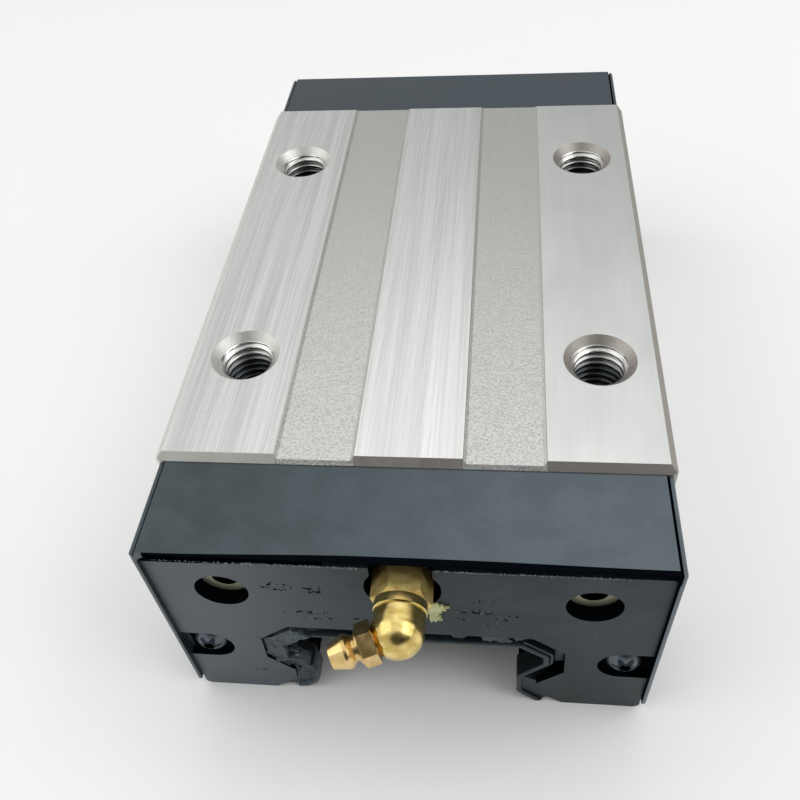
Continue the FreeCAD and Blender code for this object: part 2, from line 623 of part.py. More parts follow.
def grease_grooves():
    """Open grooves in the face that meets the body, from the port down to all four bends."""
    y0, y1 = front_y(GROOVE_DEPTH), front_y(0) + 1
    low = MIRROR_Z - RETURN_DZ + GROOVE_W / 2.0
    high = MIRROR_Z + RETURN_DZ
    half = GROOVE_W / 2.0
    tools = [box(-GROOVE_X, GROOVE_X, y0, y1, ELBOW_Z - half, ELBOW_Z + half)]
    for side in (-1, 1):
        xs = sorted((side * (GROOVE_X - half), side * (GROOVE_X + half)))
        tools.append(box(xs[0], xs[1], y0, y1, low, ELBOW_Z + half))
        for z in (high, low + half):
            xs = sorted((side * (RETURN_X + GROOVE_START), side * (GROOVE_X + half)))
            tools.append(box(xs[0], xs[1], y0, y1, z - half, z + half))
    return tools


def bend_cavity(side, level):
    """Half round room in which the rollers turn from the load row into the return bore."""
    load, out, axis = row(side, level)
    centre = load + out * BEND_R - Vector(0, END_Y, 0)
    room = along(centre, axis, BEND_R + PASSAGE_R, PASSAGE_HALF)
    bands = along(centre, axis, BEND_R + GROOVE_HALF, BAND_OUT + BAND_CLEAR)
    return room.fuse(bands)


def guide_shape(side, gap):
    """Return guide of one leg: two half rounds on a bar, all grown by gap."""
    shapes = []
    for _, level in LEVELS:
        load, out, axis = row(side, level)
        centre = load + out * BEND_R - Vector(0, END_Y, 0)
        radius = BEND_R - PASSAGE_R
        shapes.append(along(centre, axis, radius + gap, BAND_OUT + GUIDE_TENON + gap))
    reach = (BAND_OUT + GUIDE_TENON) * DIAG
    x0 = ROW_X + BEND_R * DIAG + reach - GUIDE_TENON
    z0 = ROW_DZ + BEND_R * DIAG - reach
    xs = sorted((side * (x0 - gap), side * (x0 + GUIDE_BAR_W + gap)))
    bar = box(xs[0], xs[1], front_y(GUIDE_BAR_T + gap), front_y(-GUIDE_BAR_W),
              MIRROR_Z - z0 - gap, MIRROR_Z + z0 + gap)
    return shapes[0].fuse([shapes[1], bar])


def guide_recess(side):
    return guide_shape(side, GUIDE_CLEAR)


def return_guide(side):
    shape = guide_shape(side, 0.0)
    keep = box(-BODY_W, BODY_W, front_y(CAP_L), front_y(0), BASE_Z, 0)
    return shape.common(keep)


# ---------------------------------------------------------------- face plate and end seal
def along_y(shape, z):
    """Edges that run along y at one height."""
    return [e for e in shape.Edges
            if all(abs(v.Z - z) < 1e-6 for v in e.Vertexes)
            and abs(e.Vertexes[0].X - e.Vertexes[-1].X) < 1e-6]


def rounded_plate():
    half = CAP_W / 2.0 - RIM_T - PLATE_CLEAR
    y0 = front_y(PLATE_FRONT)
    plate = box(-half, half, y0, y0 + PLATE_T, PLATE_LOW_Z, PLATE_TOP_Z)
    plate = plate.makeFillet(PLATE_TOP_R, along_y(plate, PLATE_TOP_Z))
    return plate.makeFillet(PLATE_LOW_R, along_y(plate, PLATE_LOW_Z))


def face_plate():
    plate = rounded_plate()
    y0 = front_y(PLATE_FRONT) - 1
    depth = PLATE_T + 2
    foot_x, foot_z = OPENING[-1]
    opening = list(OPENING[:-1]) + [(foot_x + 1, foot_z - 1)]
    cuts = [prism(mirrored(opening), y0, y0 + depth),
            rod((0, y0, ELBOW_Z), (0, 1, 0), NOTCH_R, depth),
            box(-NOTCH_HALF_W, NOTCH_HALF_W, y0, y0 + depth, ELBOW_Z, PLATE_TOP_Z + 1)]
    for _, side in SIDES:
        cuts.append(rod((side * PORT_X, y0, PORT_Z), (0, 1, 0), PORT_R, depth))
        cuts.append(rod((side * SLOT_X, y0, SLOT_Z), (0, 1, 0), SLOT_R, depth))
        xs = sorted((side * SLOT_X, side * (CAP_W / 2.0 + 1)))
        cuts.append(box(xs[0], xs[1], y0, y0 + depth, SLOT_Z - SLOT_R, SLOT_Z + SLOT_R))
    return cut_each(plate, cuts)


def seal_base(reach, low):
    """Outline of the seal's base, reaching past the plate's opening, down to a level."""
    edge = offset(list(OPENING) + [(OPENING[-1][0], OPENING[-1][1] - 1)], reach)
    return mirrored(edge[:-1] + [(edge[-1][0], low)])


def end_seal():
    """Rubber seal: a base behind the plate, a thin web, and a lip that follows the rail."""
    back = front_y(PLATE_SEAT - SEAL_BASE_T)
    seat = front_y(PLATE_SEAT)
    front = front_y(PLATE_FRONT)
    seal = prism(seal_base(SEAL_BASE_W - SEAL_CLEAR, BASE_Z), seat, back)
    groove = offset(list(OPENING[:4]), SEAL_GROOVE_PAST)
    seal = seal.cut(prism(mirrored(groove), seat - 1, back - SEAL_WEB_T))
    toe_x, toe_z = OPENING[5]
    toe_z += SEAL_TOE_LIFT
    toe = [(toe_x, toe_z), (toe_x - SEAL_TOE_RUN, BASE_Z - 1), (BODY_W, BASE_Z - 1), (BODY_W, toe_z)]
    for _, side in SIDES:
        seal = seal.cut(prism([(side * x, z) for x, z in toe], seat - 1, back + 1))
    ridge = offset(list(LIP), LIP_T)
    ridge[-1] = (ridge[-1][0], PLATE_LOW_Z)
    seal = seal.fuse(prism(mirrored(ridge), front, back))
    foot_x, foot_z = LIP[-1]
    way = list(LIP[:-1]) + [(foot_x + 1, foot_z - 1)]
    return seal.cut(prism(mirrored(way), front - 1, back + 1)).removeSplitter()


def port_bushes():
    """Metal bushes behind the two round windows of the face plate."""
    bushes = []
    y0 = front_y(PLATE_FRONT - BUSH_SINK)
    for _, side in SIDES:
        bush = rod((side * PORT_X, y0, PORT_Z), (0, 1, 0), BUSH_R, BUSH_L)
        bush = bush.cut(rod((side * PORT_X, y0 - 1, PORT_Z), (0, 1, 0), BUSH_BORE_R, BUSH_L + 2))
        bushes.append(bush)
    return bushes


def cap_screw(side):
    """Button head screw with a six-lobe socket, through the cap into the body."""
    seat = front_y(PLATE_SEAT)
    shank = rod((side * SCREW_X, seat, SLOT_Z), (0, 1, 0), SCREW_R, PLATE_SEAT + SCREW_BITE)
    dome_r = (SCREW_HEAD_R ** 2 + SCREW_HEAD_H ** 2) / (2 * SCREW_HEAD_H) + SCREW_DOME_EXTRA
    centre = Vector(side * SCREW_X, seat - SCREW_HEAD_H + dome_r, SLOT_Z)
    head = rod((side * SCREW_X, seat - SCREW_HEAD_H, SLOT_Z), (0, 1, 0), SCREW_HEAD_R, SCREW_HEAD_H)
    head = head.common(Part.makeSphere(dome_r, centre))
    lobes = [rod((side * SCREW_X, seat - SCREW_HEAD_H - 1, SLOT_Z), (0, 1, 0), SOCKET_CORE_R,
                 1 + SOCKET_DEPTH)]
    reach = SOCKET_R - SOCKET_LOBE_R
    for k in range(6):
        angle = k * math.pi / 3
        lobes.append(rod((side * SCREW_X + reach * math.cos(angle), seat - SCREW_HEAD_H - 1,
                          SLOT_Z + reach * math.sin(angle)), (0, 1, 0), SOCKET_LOBE_R, 1 + SOCKET_DEPTH))
    return cut_each(head.fuse(shank), lobes)


# ---------------------------------------------------------------- grease fitting
def hexagon(start, axis, across_flats, length, turn):
    """Hexagonal prism on an axis, turned about it by some degrees."""
    side = axis.cross(Vector(0, 0, 1)).normalize()
    up = side.cross(axis)
    radius = across_flats / math.sqrt(3)
    corners = []
    for k in range(7):
        angle = math.radians(turn + 60 * k)
        corners.append(start + side * (radius * math.cos(angle)) + up * (radius * math.sin(angle)))
    return Part.Face(Part.makePolygon(corners)).extrude(axis * length)


def turned(start, axis, profile):
    """Solid of revolution: profile is (distance along the axis, radius) from end to end."""
    points = [Vector(r, 0, s) for s, r in profile]
    points = [Vector(0, 0, profile[0][0])] + points + [Vector(0, 0, profile[-1][0])]
    points = [p for k, p in enumerate(points) if k == 0 or (p - points[k - 1]).Length > 1e-6]
    solid = Part.Face(Part.makePolygon(points + points[:1])).revolve(
        Vector(0, 0, 0), Vector(0, 0, 1), 360)
    solid.Placement = FreeCAD.Placement(start, FreeCAD.Rotation(Vector(0, 0, 1), axis))
    return solid


def nipple_frame():
    """Bend centre of the elbow and the direction in which the nipple leaves it."""
    down, forward = math.radians(NIPPLE_DOWN), math.radians(NIPPLE_FORWARD)
    axis = Vector(-math.cos(down) * math.cos(forward), -math.sin(forward),
                  -math.sin(down) * math.cos(forward))
    hex_front = front_y(PLATE_SEAT - ELBOW_SEAT + ELBOW_HEX_L)
    return Vector(0, hex_front - ELBOW_ARM, ELBOW_Z), axis


def elbow_body():
    bend, nipple = nipple_frame()
    out = Vector(0, -1, 0)
    seat = Vector(0, front_y(PLATE_SEAT - ELBOW_SEAT), ELBOW_Z)
    hex_head = hexagon(seat, out, ELBOW_HEX_AF, ELBOW_HEX_L, ELBOW_HEX_TURN)
    corner = ELBOW_HEX_AF / math.sqrt(3)
    bevel = corner - ELBOW_HEX_AF / 2.0
    hex_head = hex_head.common(turned(seat, out, [
        (0, corner + TURN_CLEAR), (ELBOW_HEX_L - bevel * HEX_BEVEL, corner + TURN_CLEAR),
        (ELBOW_HEX_L, ELBOW_HEX_AF / 2.0 - TURN_CLEAR)]))
    neck = ELBOW_HEX_L + ELBOW_COLLAR_L
    arm = turned(seat, out, [
        (-ELBOW_SHANK_L, ELBOW_SHANK_R - ELBOW_SHANK_CHAMFER),
        (-ELBOW_SHANK_L + ELBOW_SHANK_CHAMFER, ELBOW_SHANK_R),
        (0, ELBOW_SHANK_R), (0, ELBOW_COLLAR_R), (neck - ELBOW_EDGE, ELBOW_COLLAR_R),
        (neck, ELBOW_COLLAR_R - ELBOW_EDGE), (neck, ELBOW_GROOVE_R), (neck + ELBOW_GROOVE_L, ELBOW_GROOVE_R),
        (neck + ELBOW_GROOVE_L, ELBOW_R), (ELBOW_HEX_L + ELBOW_ARM, ELBOW_R)])
    body = arm.fuse([hex_head, Part.makeSphere(ELBOW_R, bend)])
    body = body.cut(rod(bend + nipple * NIPPLE_SEAT, nipple, ELBOW_R, ELBOW_R))
    start = seat + Vector(0, ELBOW_SHANK_L + 1, 0)
    body = body.cut(rod(start, out, ELBOW_BORE_R, start.y - bend.y))
    body = body.cut(rod(bend, nipple, ELBOW_BORE_R, ELBOW_R))
    thread_room = NIPPLE_SEAT - NIPPLE_SHANK_L - THREAD_RUN_OUT
    return body.cut(rod(bend + nipple * thread_room, nipple, NIPPLE_SHANK_R + THREAD_CLEAR, ELBOW_R))


def nipple_steps():
    """Distances from the bend centre to the nipple's own shoulders."""
    hex_top = NIPPLE_SEAT + NIPPLE_HEX_L
    neck = hex_top + NIPPLE_COLLAR_L
    rise = neck + NIPPLE_NECK_L
    land = rise + NIPPLE_BACK_L
    nose = land + NIPPLE_LAND_L
    return hex_top, neck, rise, land, nose, nose + NIPPLE_NOSE_L


def ball_centre():
    """The ball rests behind the mouth, closing it."""
    seat = math.sqrt((BALL_R + BALL_CLEAR) ** 2 - NIPPLE_MOUTH_R ** 2)
    return nipple_steps()[-1] - NIPPLE_MOUTH_L - seat


def nipple_body():
    bend, axis = nipple_frame()
    hex_top, neck, rise, land, nose, tip = nipple_steps()
    outside = turned(bend, axis, [
        (NIPPLE_SEAT - NIPPLE_SHANK_L, NIPPLE_SHANK_R), (NIPPLE_SEAT, NIPPLE_SHANK_R),
        (NIPPLE_SEAT, NIPPLE_COLLAR_R), (neck, NIPPLE_COLLAR_R), (neck, NIPPLE_NECK_R),
        (rise, NIPPLE_NECK_R), (land, NIPPLE_HEAD_R), (nose, NIPPLE_HEAD_R), (tip, NIPPLE_TIP_R)])
    corner = NIPPLE_HEX_AF / math.sqrt(3)
    head = hexagon(bend + axis * NIPPLE_SEAT, axis, NIPPLE_HEX_AF, NIPPLE_HEX_L, NIPPLE_HEX_TURN)
    head = head.common(turned(bend, axis, [
        (NIPPLE_SEAT, corner - NIPPLE_HEX_EDGE), (NIPPLE_SEAT + NIPPLE_HEX_FOOT, corner + TURN_CLEAR),
        (hex_top - NIPPLE_HEX_EDGE, corner + TURN_CLEAR), (hex_top, corner - NIPPLE_HEX_BEVEL)]))
    body = outside.fuse(head)
    wide = ball_centre() + math.sqrt((BALL_R + BALL_CLEAR) ** 2 - NIPPLE_MOUTH_R ** 2) - NIPPLE_SEAT_L
    bore = turned(bend, axis, [
        (NIPPLE_SEAT - NIPPLE_SHANK_L - 1, NIPPLE_WAY_R), (ball_back() - SPRING_L, NIPPLE_WAY_R),
        (ball_back() - SPRING_L, NIPPLE_BORE_R), (wide, NIPPLE_BORE_R),
        (wide + NIPPLE_SEAT_L, NIPPLE_MOUTH_R), (tip + 1, NIPPLE_MOUTH_R)])
    return body.cut(bore)


def ball_back():
    return ball_centre() - BALL_R - BALL_CLEAR


def check_ball():
    bend, axis = nipple_frame()
    return Part.makeSphere(BALL_R, bend + axis * ball_centre())


def ball_spring():
    """Closed turns of wire, from the step in the bore up to the ball."""
    bend, axis = nipple_frame()
    length = SPRING_L - 2 * (SPRING_WIRE_R + SPRING_PLAY)
    pitch = length / SPRING_TURNS
    helix = Part.makeHelix(pitch, length, SPRING_R)
    corners = [Vector(SPRING_R + SPRING_WIRE_R * math.cos(k * math.pi / 3), 0,
                      SPRING_WIRE_R * math.sin(k * math.pi / 3)) for k in range(7)]
    ring = Part.makePolygon(corners)
    spring = Part.Wire(helix.Edges).makePipeShell([ring], True, True)
    start = bend + axis * (ball_back() - SPRING_L + SPRING_WIRE_R + SPRING_PLAY)
    spring.Placement = FreeCAD.Placement(start, FreeCAD.Rotation(Vector(0, 0, 1), axis))
    return spring


def grease_plug():
    """Socket plug that closes the port of the rear cap."""
    seat = Vector(0, front_y(PLATE_SEAT - ELBOW_SEAT), ELBOW_Z)
    out = Vector(0, -1, 0)
    plug = turned(seat, out, [
        (-ELBOW_SHANK_L, ELBOW_SHANK_R - ELBOW_SHANK_CHAMFER),
        (-ELBOW_SHANK_L + ELBOW_SHANK_CHAMFER, ELBOW_SHANK_R),
        (-PLUG_EDGE, ELBOW_SHANK_R), (0, ELBOW_SHANK_R - PLUG_EDGE)])
    socket = hexagon(seat - out * PLUG_HEX_DEPTH, out, PLUG_HEX_R * math.sqrt(3), PLUG_HEX_DEPTH + 1, 0)
    return plug.cut(socket)


def build():
    os.makedirs("parts", exist_ok=True)
    save("steel_block", steel_block())
    for side_name, side in SIDES:
        names = ("upper_retainer_", "middle_retainer_", "lower_retainer_")
        for name, bar in zip(names, retainers(side)):
            save(name + side_name, bar)
        save("bottom_seal_" + side_name, bottom_seal(side))
        save("inner_seal_" + side_name, inner_seal(side))
        for level_name, level in LEVELS:
            place = level_name + "_" + side_name
            save("rollers_" + place, *rollers(side, level))
            save("roller_cage_" + place, cage(side, level))
            save("return_tube_" + place, return_tube(side, level))
    cap, plate, seal = end_cap(), face_plate(), end_seal()
    for end, rear in ENDS:
        save(end + "_end_cap", placed(cap, rear))
        save(end + "_face_plate", placed(plate, rear))
        save(end + "_end_seal", placed(seal, rear))
        save(end + "_port_bushes", *[placed(bush, rear) for bush in port_bushes()])
        save(end + "_cap_screws", *[placed(cap_screw(side), rear) for _, side in SIDES])
        for side_name, side in SIDES:
            true_side = -side if rear else side
            save(end + "_return_guide_" + side_name, placed(return_guide(true_side), rear))
    save("rear_grease_plug", placed(grease_plug(), True))
    save("grease_elbow", elbow_body())
    save("grease_nipple", nipple_body())
    save("nipple_ball", check_ball())
    save("nipple_spring", ball_spring())


build()
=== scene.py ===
"""Looks of a roller guide carriage: finishes, threads, rubber lips, grease fitting and studio."""

import json
import logging
import math
import random
from dataclasses import dataclass
from enum import Enum

import bmesh
import bpy
from mathutils import Matrix, Vector, geometry, noise


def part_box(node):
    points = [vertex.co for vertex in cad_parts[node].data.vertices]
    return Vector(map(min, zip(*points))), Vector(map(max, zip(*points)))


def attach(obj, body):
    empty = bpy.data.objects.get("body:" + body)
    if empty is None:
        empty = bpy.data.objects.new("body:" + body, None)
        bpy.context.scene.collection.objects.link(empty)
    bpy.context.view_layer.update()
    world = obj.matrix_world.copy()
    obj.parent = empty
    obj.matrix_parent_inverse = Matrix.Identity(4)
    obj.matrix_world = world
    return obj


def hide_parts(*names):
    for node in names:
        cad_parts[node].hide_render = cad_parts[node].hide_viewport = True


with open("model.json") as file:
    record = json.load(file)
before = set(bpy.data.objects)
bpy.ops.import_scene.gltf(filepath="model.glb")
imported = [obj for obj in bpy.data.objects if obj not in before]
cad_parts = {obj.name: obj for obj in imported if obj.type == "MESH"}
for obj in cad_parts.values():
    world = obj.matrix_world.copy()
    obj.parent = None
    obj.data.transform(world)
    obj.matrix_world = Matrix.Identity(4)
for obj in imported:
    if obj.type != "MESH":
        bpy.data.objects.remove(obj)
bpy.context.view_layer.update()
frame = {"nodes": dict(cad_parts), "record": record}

LOG = logging.getLogger("carriage")
MM = 0.001
BODY = "carriage"
NODES = frame["nodes"]

# Places that the frame gives, in metres.
STEEL_LOW, STEEL_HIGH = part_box("steel_block")
PLATE_LOW, PLATE_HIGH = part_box("front_face_plate")
CAP_LOW, CAP_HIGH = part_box("front_end_cap")
MOUNTS = {mount["name"]: mount for mount in frame["record"]["mounts"]}

# Oil on dark plastic, rubber and coated steel gives a slightly cool gloss.
COOL_GLOSS = (0.80, 0.94, 1.0, 1.0)

Point = tuple[float, float]


class Lay(Enum):
    """Direction in which a machining pattern runs: its turn about Z."""

    LENGTHWISE = 0.0
    SKEWED = math.radians(5.0)


class Kind(Enum):
    """Nodes in use: type, settings, the inputs that values fill in turn, and the main output."""

    PLUS = ("ShaderNodeMath", {"operation": "ADD"}, (0, 1), 0)
    MINUS = ("ShaderNodeMath", {"operation": "SUBTRACT"}, (0, 1), 0)
    TIMES = ("ShaderNodeMath", {"operation": "MULTIPLY"}, (0, 1), 0)
    OVER = ("ShaderNodeMath", {"operation": "DIVIDE"}, (0, 1), 0)
    BELOW = ("ShaderNodeMath", {"operation": "LESS_THAN"}, (0, 1), 0)
    ABOVE = ("ShaderNodeMath", {"operation": "GREATER_THAN"}, (0, 1), 0)
    EITHER = ("ShaderNodeMath", {"operation": "MAXIMUM"}, (0, 1), 0)
    SIZE = ("ShaderNodeMath", {"operation": "ABSOLUTE"}, (0,), 0)
    ROOT = ("ShaderNodeMath", {"operation": "SQRT"}, (0,), 0)
    BEARING = ("ShaderNodeMath", {"operation": "ARCTAN2"}, (0, 1), 0)
    COSINE = ("ShaderNodeMath", {"operation": "COSINE"}, (0,), 0)
    RISE = ("ShaderNodeMapRange", {"interpolation_type": "SMOOTHSTEP"}, (0, 1, 2), 0)
    BLEND = ("ShaderNodeMix", {"data_type": "RGBA"}, (0, 6, 7), 2)
    LEVEL = ("ShaderNodeMix", {"data_type": "FLOAT"}, (0, 2, 3), 0)
    RELIEF = ("ShaderNodeBump", {}, ("Height", "Distance", "Normal"), 0)
    NOISE = ("ShaderNodeTexNoise", {}, ("Vector", "Scale", "Detail", "Roughness"), "Fac")
    MAPPED = ("ShaderNodeMapping", {"vector_type": "POINT"}, ("Vector", "Location", "Scale"), 0)
    TURNED = ("ShaderNodeVectorRotate", {"rotation_type": "Z_AXIS"}, (0, 3), 0)
    AXES = ("ShaderNodeSeparateXYZ", {}, (0,), 0)
    POSITION = ("ShaderNodeTexCoord", {}, (), "Object")
    DIRECTION = ("ShaderNodeTexCoord", {}, (), "Generated")
    NORMAL = ("ShaderNodeNewGeometry", {}, (), "Normal")
    FACE_NORMAL = ("ShaderNodeNewGeometry", {}, (), "True Normal")
    RANDOM_VECTOR = ("FunctionNodeRandomValue", {"data_type": "FLOAT_VECTOR"}, (0, 1, "Seed"), 0)
    RANDOM_SIZE = ("FunctionNodeRandomValue", {"data_type": "FLOAT"}, (2, 3, "Seed"), 1)


# ---------------------------------------------------------------------------- node trees
@dataclass(frozen=True)
class Field:
    """Output of a node. Signs between fields, or a field and a number, add the nodes for them.

    A comparison gives 1 where it holds and 0 elsewhere, and `|` takes the larger of two.
    """

    tree: bpy.types.NodeTree
    socket: bpy.types.NodeSocket

    def __getitem__(self, output: int | str) -> "Field":
        """Another output of the same node."""
        return Field(self.tree, self.socket.node.outputs[output])

    def __add__(self, other: object) -> "Field":
        """Sum."""
        return add(self.tree, Kind.PLUS, self, other)

    def __sub__(self, other: object) -> "Field":
        """Difference."""
        return add(self.tree, Kind.MINUS, self, other)

    def __rsub__(self, other: object) -> "Field":
        """Difference from a number."""
        return add(self.tree, Kind.MINUS, other, self)

    def __mul__(self, other: object) -> "Field":
        """Product."""
        return add(self.tree, Kind.TIMES, self, other)

    def __truediv__(self, other: object) -> "Field":
        """Quotient."""
        return add(self.tree, Kind.OVER, self, other)

    def __lt__(self, other: object) -> "Field":
        """Where this is below the other."""
        return add(self.tree, Kind.BELOW, self, other)

    def __gt__(self, other: object) -> "Field":
        """Where this is above the other."""
        return add(self.tree, Kind.ABOVE, self, other)

    def __or__(self, other: object) -> "Field":
        """The larger of the two."""
        return add(self.tree, Kind.EITHER, self, other)

    def __abs__(self) -> "Field":
        """Size without its sign."""
        return add(self.tree, Kind.SIZE, self)

    def between(self, low: float, high: float) -> "Field":
        """Where this lies between two limits."""
        return (self > low) * (self < high)


def linear(code: str) -> tuple[float, float, float, float]:
    """Turn an sRGB hex colour into a linear one.

    Args:
        code: Colour such as "#8a8d90".

    Returns:
        Linear red, green, blue and an alpha of 1.
    """
    channels = [int(code[k:k + 2], 16) / 255.0 for k in (1, 3, 5)]
    out = [c / 12.92 if c <= 0.04045 else ((c + 0.055) / 1.055) ** 2.4 for c in channels]
    return out[0], out[1], out[2], 1.0


def fill(node: bpy.types.Node, inputs: dict) -> None:
    """Fill a node's inputs: a field is linked, a hex colour is made linear.

    Args:
        node: The node.
        inputs: Numbers, colours or fields, by input name or index.
    """
    for key, value in inputs.items():
        if isinstance(value, Field):
            value.tree.links.new(value.socket, node.inputs[key])
        else:
            node.inputs[key].default_value = linear(value) if isinstance(value, str) else value


def add(tree: bpy.types.NodeTree, kind: Kind | str, *values: object,
        settings: dict | None = None, inputs: dict | None = None) -> Field | None:
    """Add a node, set it up and link it.

    Args:
        tree: Tree that gets the node.
        kind: What the node does, or just its type where it is needed once.
        values: Numbers, colours or fields, in the order of the kind's inputs.
        settings: More attributes of the node.
        inputs: More values, by input name or index.

    Returns:
        The node's main output, if it has any.
    """
    kind_name, preset, order, main = kind.value if isinstance(kind, Kind) else (
        kind, {}, range(len(values)), 0)
    node = tree.nodes.new(kind_name)
    for name, value in {**preset, **(settings or {})}.items():
        setattr(node, name, value)
    fill(node, {**dict(zip(order, values)), **(inputs or {})})
    return Field(tree, node.outputs[main]) if len(node.outputs) else None


def axes(tree: bpy.types.NodeTree, kind: Kind) -> tuple[Field, Field, Field]:
    """X, Y and Z of a place or direction."""
    parts = add(tree, Kind.AXES, add(tree, kind))
    return parts[0], parts[1], parts[2]


def grain(tree: bpy.types.NodeTree, size: float | tuple[float, float, float], detail: float = 3.0,
          lay: Lay = Lay.LENGTHWISE, shift: float = 0.0) -> Field:
    """Noise whose features have a real size.

    Args:
        tree: Tree that gets the nodes.
        size: Size of a feature, or its sizes along X, Y and Z, in metres.
        detail: Number of finer octaves.
        lay: Direction of the pattern.
        shift: Moves the pattern, in features.

    Returns:
        Noise between 0 and 1.
    """
    sizes = size if isinstance(size, tuple) else (size,) * 3
    spot = add(tree, Kind.POSITION)
    if lay is not Lay.LENGTHWISE:
        spot = add(tree, Kind.TURNED, spot, lay.value)
    spot = add(tree, Kind.MAPPED, spot, (shift,) * 3, tuple(1.0 / s for s in sizes))
    return add(tree, Kind.NOISE, spot, 1.0, detail, 0.55)


def from_pair(tree: bpy.types.NodeTree, node: str) -> tuple[Field, Field, Field]:
    """Distances from the nearer axis of a node's left and right round pieces.

    Args:
        tree: Tree that gets the nodes.
        node: CAD node with a round piece on each side.

    Returns:
        Distance outwards, distance upwards and straight distance, in metres.
    """
    low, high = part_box(node)
    x, _, z = axes(tree, Kind.POSITION)
    across = abs(x) - (high.x - (high.z - low.z) / 2.0)
    upward = z - (low.z + high.z) / 2.0
    return across, upward, add(tree, Kind.ROOT, across * across + upward * upward)


def new_material(name: str) -> tuple[bpy.types.Material, bpy.types.NodeTree, bpy.types.Node]:
    """Make an empty node material.

    Args:
        name: The material's name.

    Returns:
        The material, its tree and its Principled shader.
    """
    material = bpy.data.materials.new(name)
    material.use_nodes = True
    tree = material.node_tree
    return material, tree, tree.nodes["Principled BSDF"]


# ---------------------------------------------------------------------------- meshes
def mesh_object(name: str, mesh: bpy.types.Mesh, material: bpy.types.Material,
                sharp: float = 35.0) -> bpy.types.Object:
    """Link a finished mesh as a piece that rides on the carriage.

    Args:
        name: Piece name.
        mesh: Its mesh, already in place.
        material: Its material.
        sharp: Edges that turn by more than this many degrees stay sharp.

    Returns:
        The new object.
    """
    mesh.materials.clear()
    mesh.materials.append(material)
    obj = bpy.data.objects.new(name, mesh)
    bpy.context.scene.collection.objects.link(obj)
    mesh.shade_smooth()
    mesh.set_sharp_from_angle(angle=math.radians(sharp))
    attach(obj, BODY)
    LOG.info("%s: %d faces", name, len(mesh.polygons))
    return obj


def finish_mesh(name: str, shape: bmesh.types.BMesh, merge: float = 1e-6) -> bpy.types.Mesh:
    """Close a bmesh into a mesh with merged doubles and outward normals.

    Args:
        name: Mesh name.
        shape: The bmesh, freed here.
        merge: Merge distance in metres.

    Returns:
        The mesh.
    """
    bmesh.ops.remove_doubles(shape, verts=shape.verts, dist=merge)
    bmesh.ops.recalc_face_normals(shape, faces=shape.faces)
    mesh = bpy.data.meshes.new(name)
    shape.to_mesh(mesh)
    shape.free()
    return mesh


def sweep(shape: bmesh.types.BMesh, rings: list[list[Vector]], caps: bool = True) -> None:
    """Skin a row of equal closed rings.

    Args:
        shape: Bmesh that gets the faces.
        rings: Rings of points, all as long.
        caps: Whether the first and last ring are closed with a face.
    """
    rows = [[shape.verts.new(point) for point in ring] for ring in rings]
    count = len(rows[0])
    for first, second in zip(rows, rows[1:]):
        for k in range(count):
            j = (k + 1) % count
            shape.faces.new((first[k], first[j], second[j], second[k]))
    if caps:
        shape.faces.new(list(reversed(rows[0])))
        shape.faces.new(rows[-1])


def baked(tree: bpy.types.NodeTree, name: str, inputs: dict) -> bpy.types.Mesh:
    """Run a Geometry Nodes tree once and keep its mesh.

    Args:
        tree: The tree.
        name: Name of the mesh.
        inputs: Values by socket identifier.

    Returns:
        The plain mesh.
    """
    carrier = bpy.data.objects.new(name, bpy.data.meshes.new(name + "_seed"))
    bpy.context.scene.collection.objects.link(carrier)
    modifier = carrier.modifiers.new(name, "NODES")
    modifier.node_group = tree
    for identifier, value in inputs.items():
        modifier[identifier] = value
    bpy.context.view_layer.update()
    graph = bpy.context.evaluated_depsgraph_get()
    mesh = bpy.data.meshes.new_from_object(carrier.evaluated_get(graph))
    bpy.data.objects.remove(carrier)
    return mesh


def geometry_tree(name: str, sockets: dict[str, str]) -> tuple[bpy.types.NodeTree, Field, dict]:
    """Start a Geometry Nodes tree with named inputs.

    Args:
        name: The tree's name.
        sockets: Type of each input, such as "Float", by its name.

    Returns:
        The tree, its input node and each input's identifier by name.
    """
    tree = bpy.data.node_groups.new(name, "GeometryNodeTree")
    face = tree.interface
    face.new_socket("Geometry", in_out="INPUT", socket_type="NodeSocketGeometry")
    names = {name: face.new_socket(name, in_out="INPUT", socket_type="NodeSocket" + kind).identifier
             for name, kind in sockets.items()}
    face.new_socket("Geometry", in_out="OUTPUT", socket_type="NodeSocketGeometry")
    return tree, add(tree, "NodeGroupInput"), names


def realize(tree: bpy.types.NodeTree, spread: Field, material: bpy.types.Material) -> None:
    """End a Geometry Nodes tree: instances made real, with a material."""
    real = add(tree, "GeometryNodeRealizeInstances", spread)
    painted = add(tree, "GeometryNodeSetMaterial", real, inputs={"Material": material})
    add(tree, "NodeGroupOutput", painted)


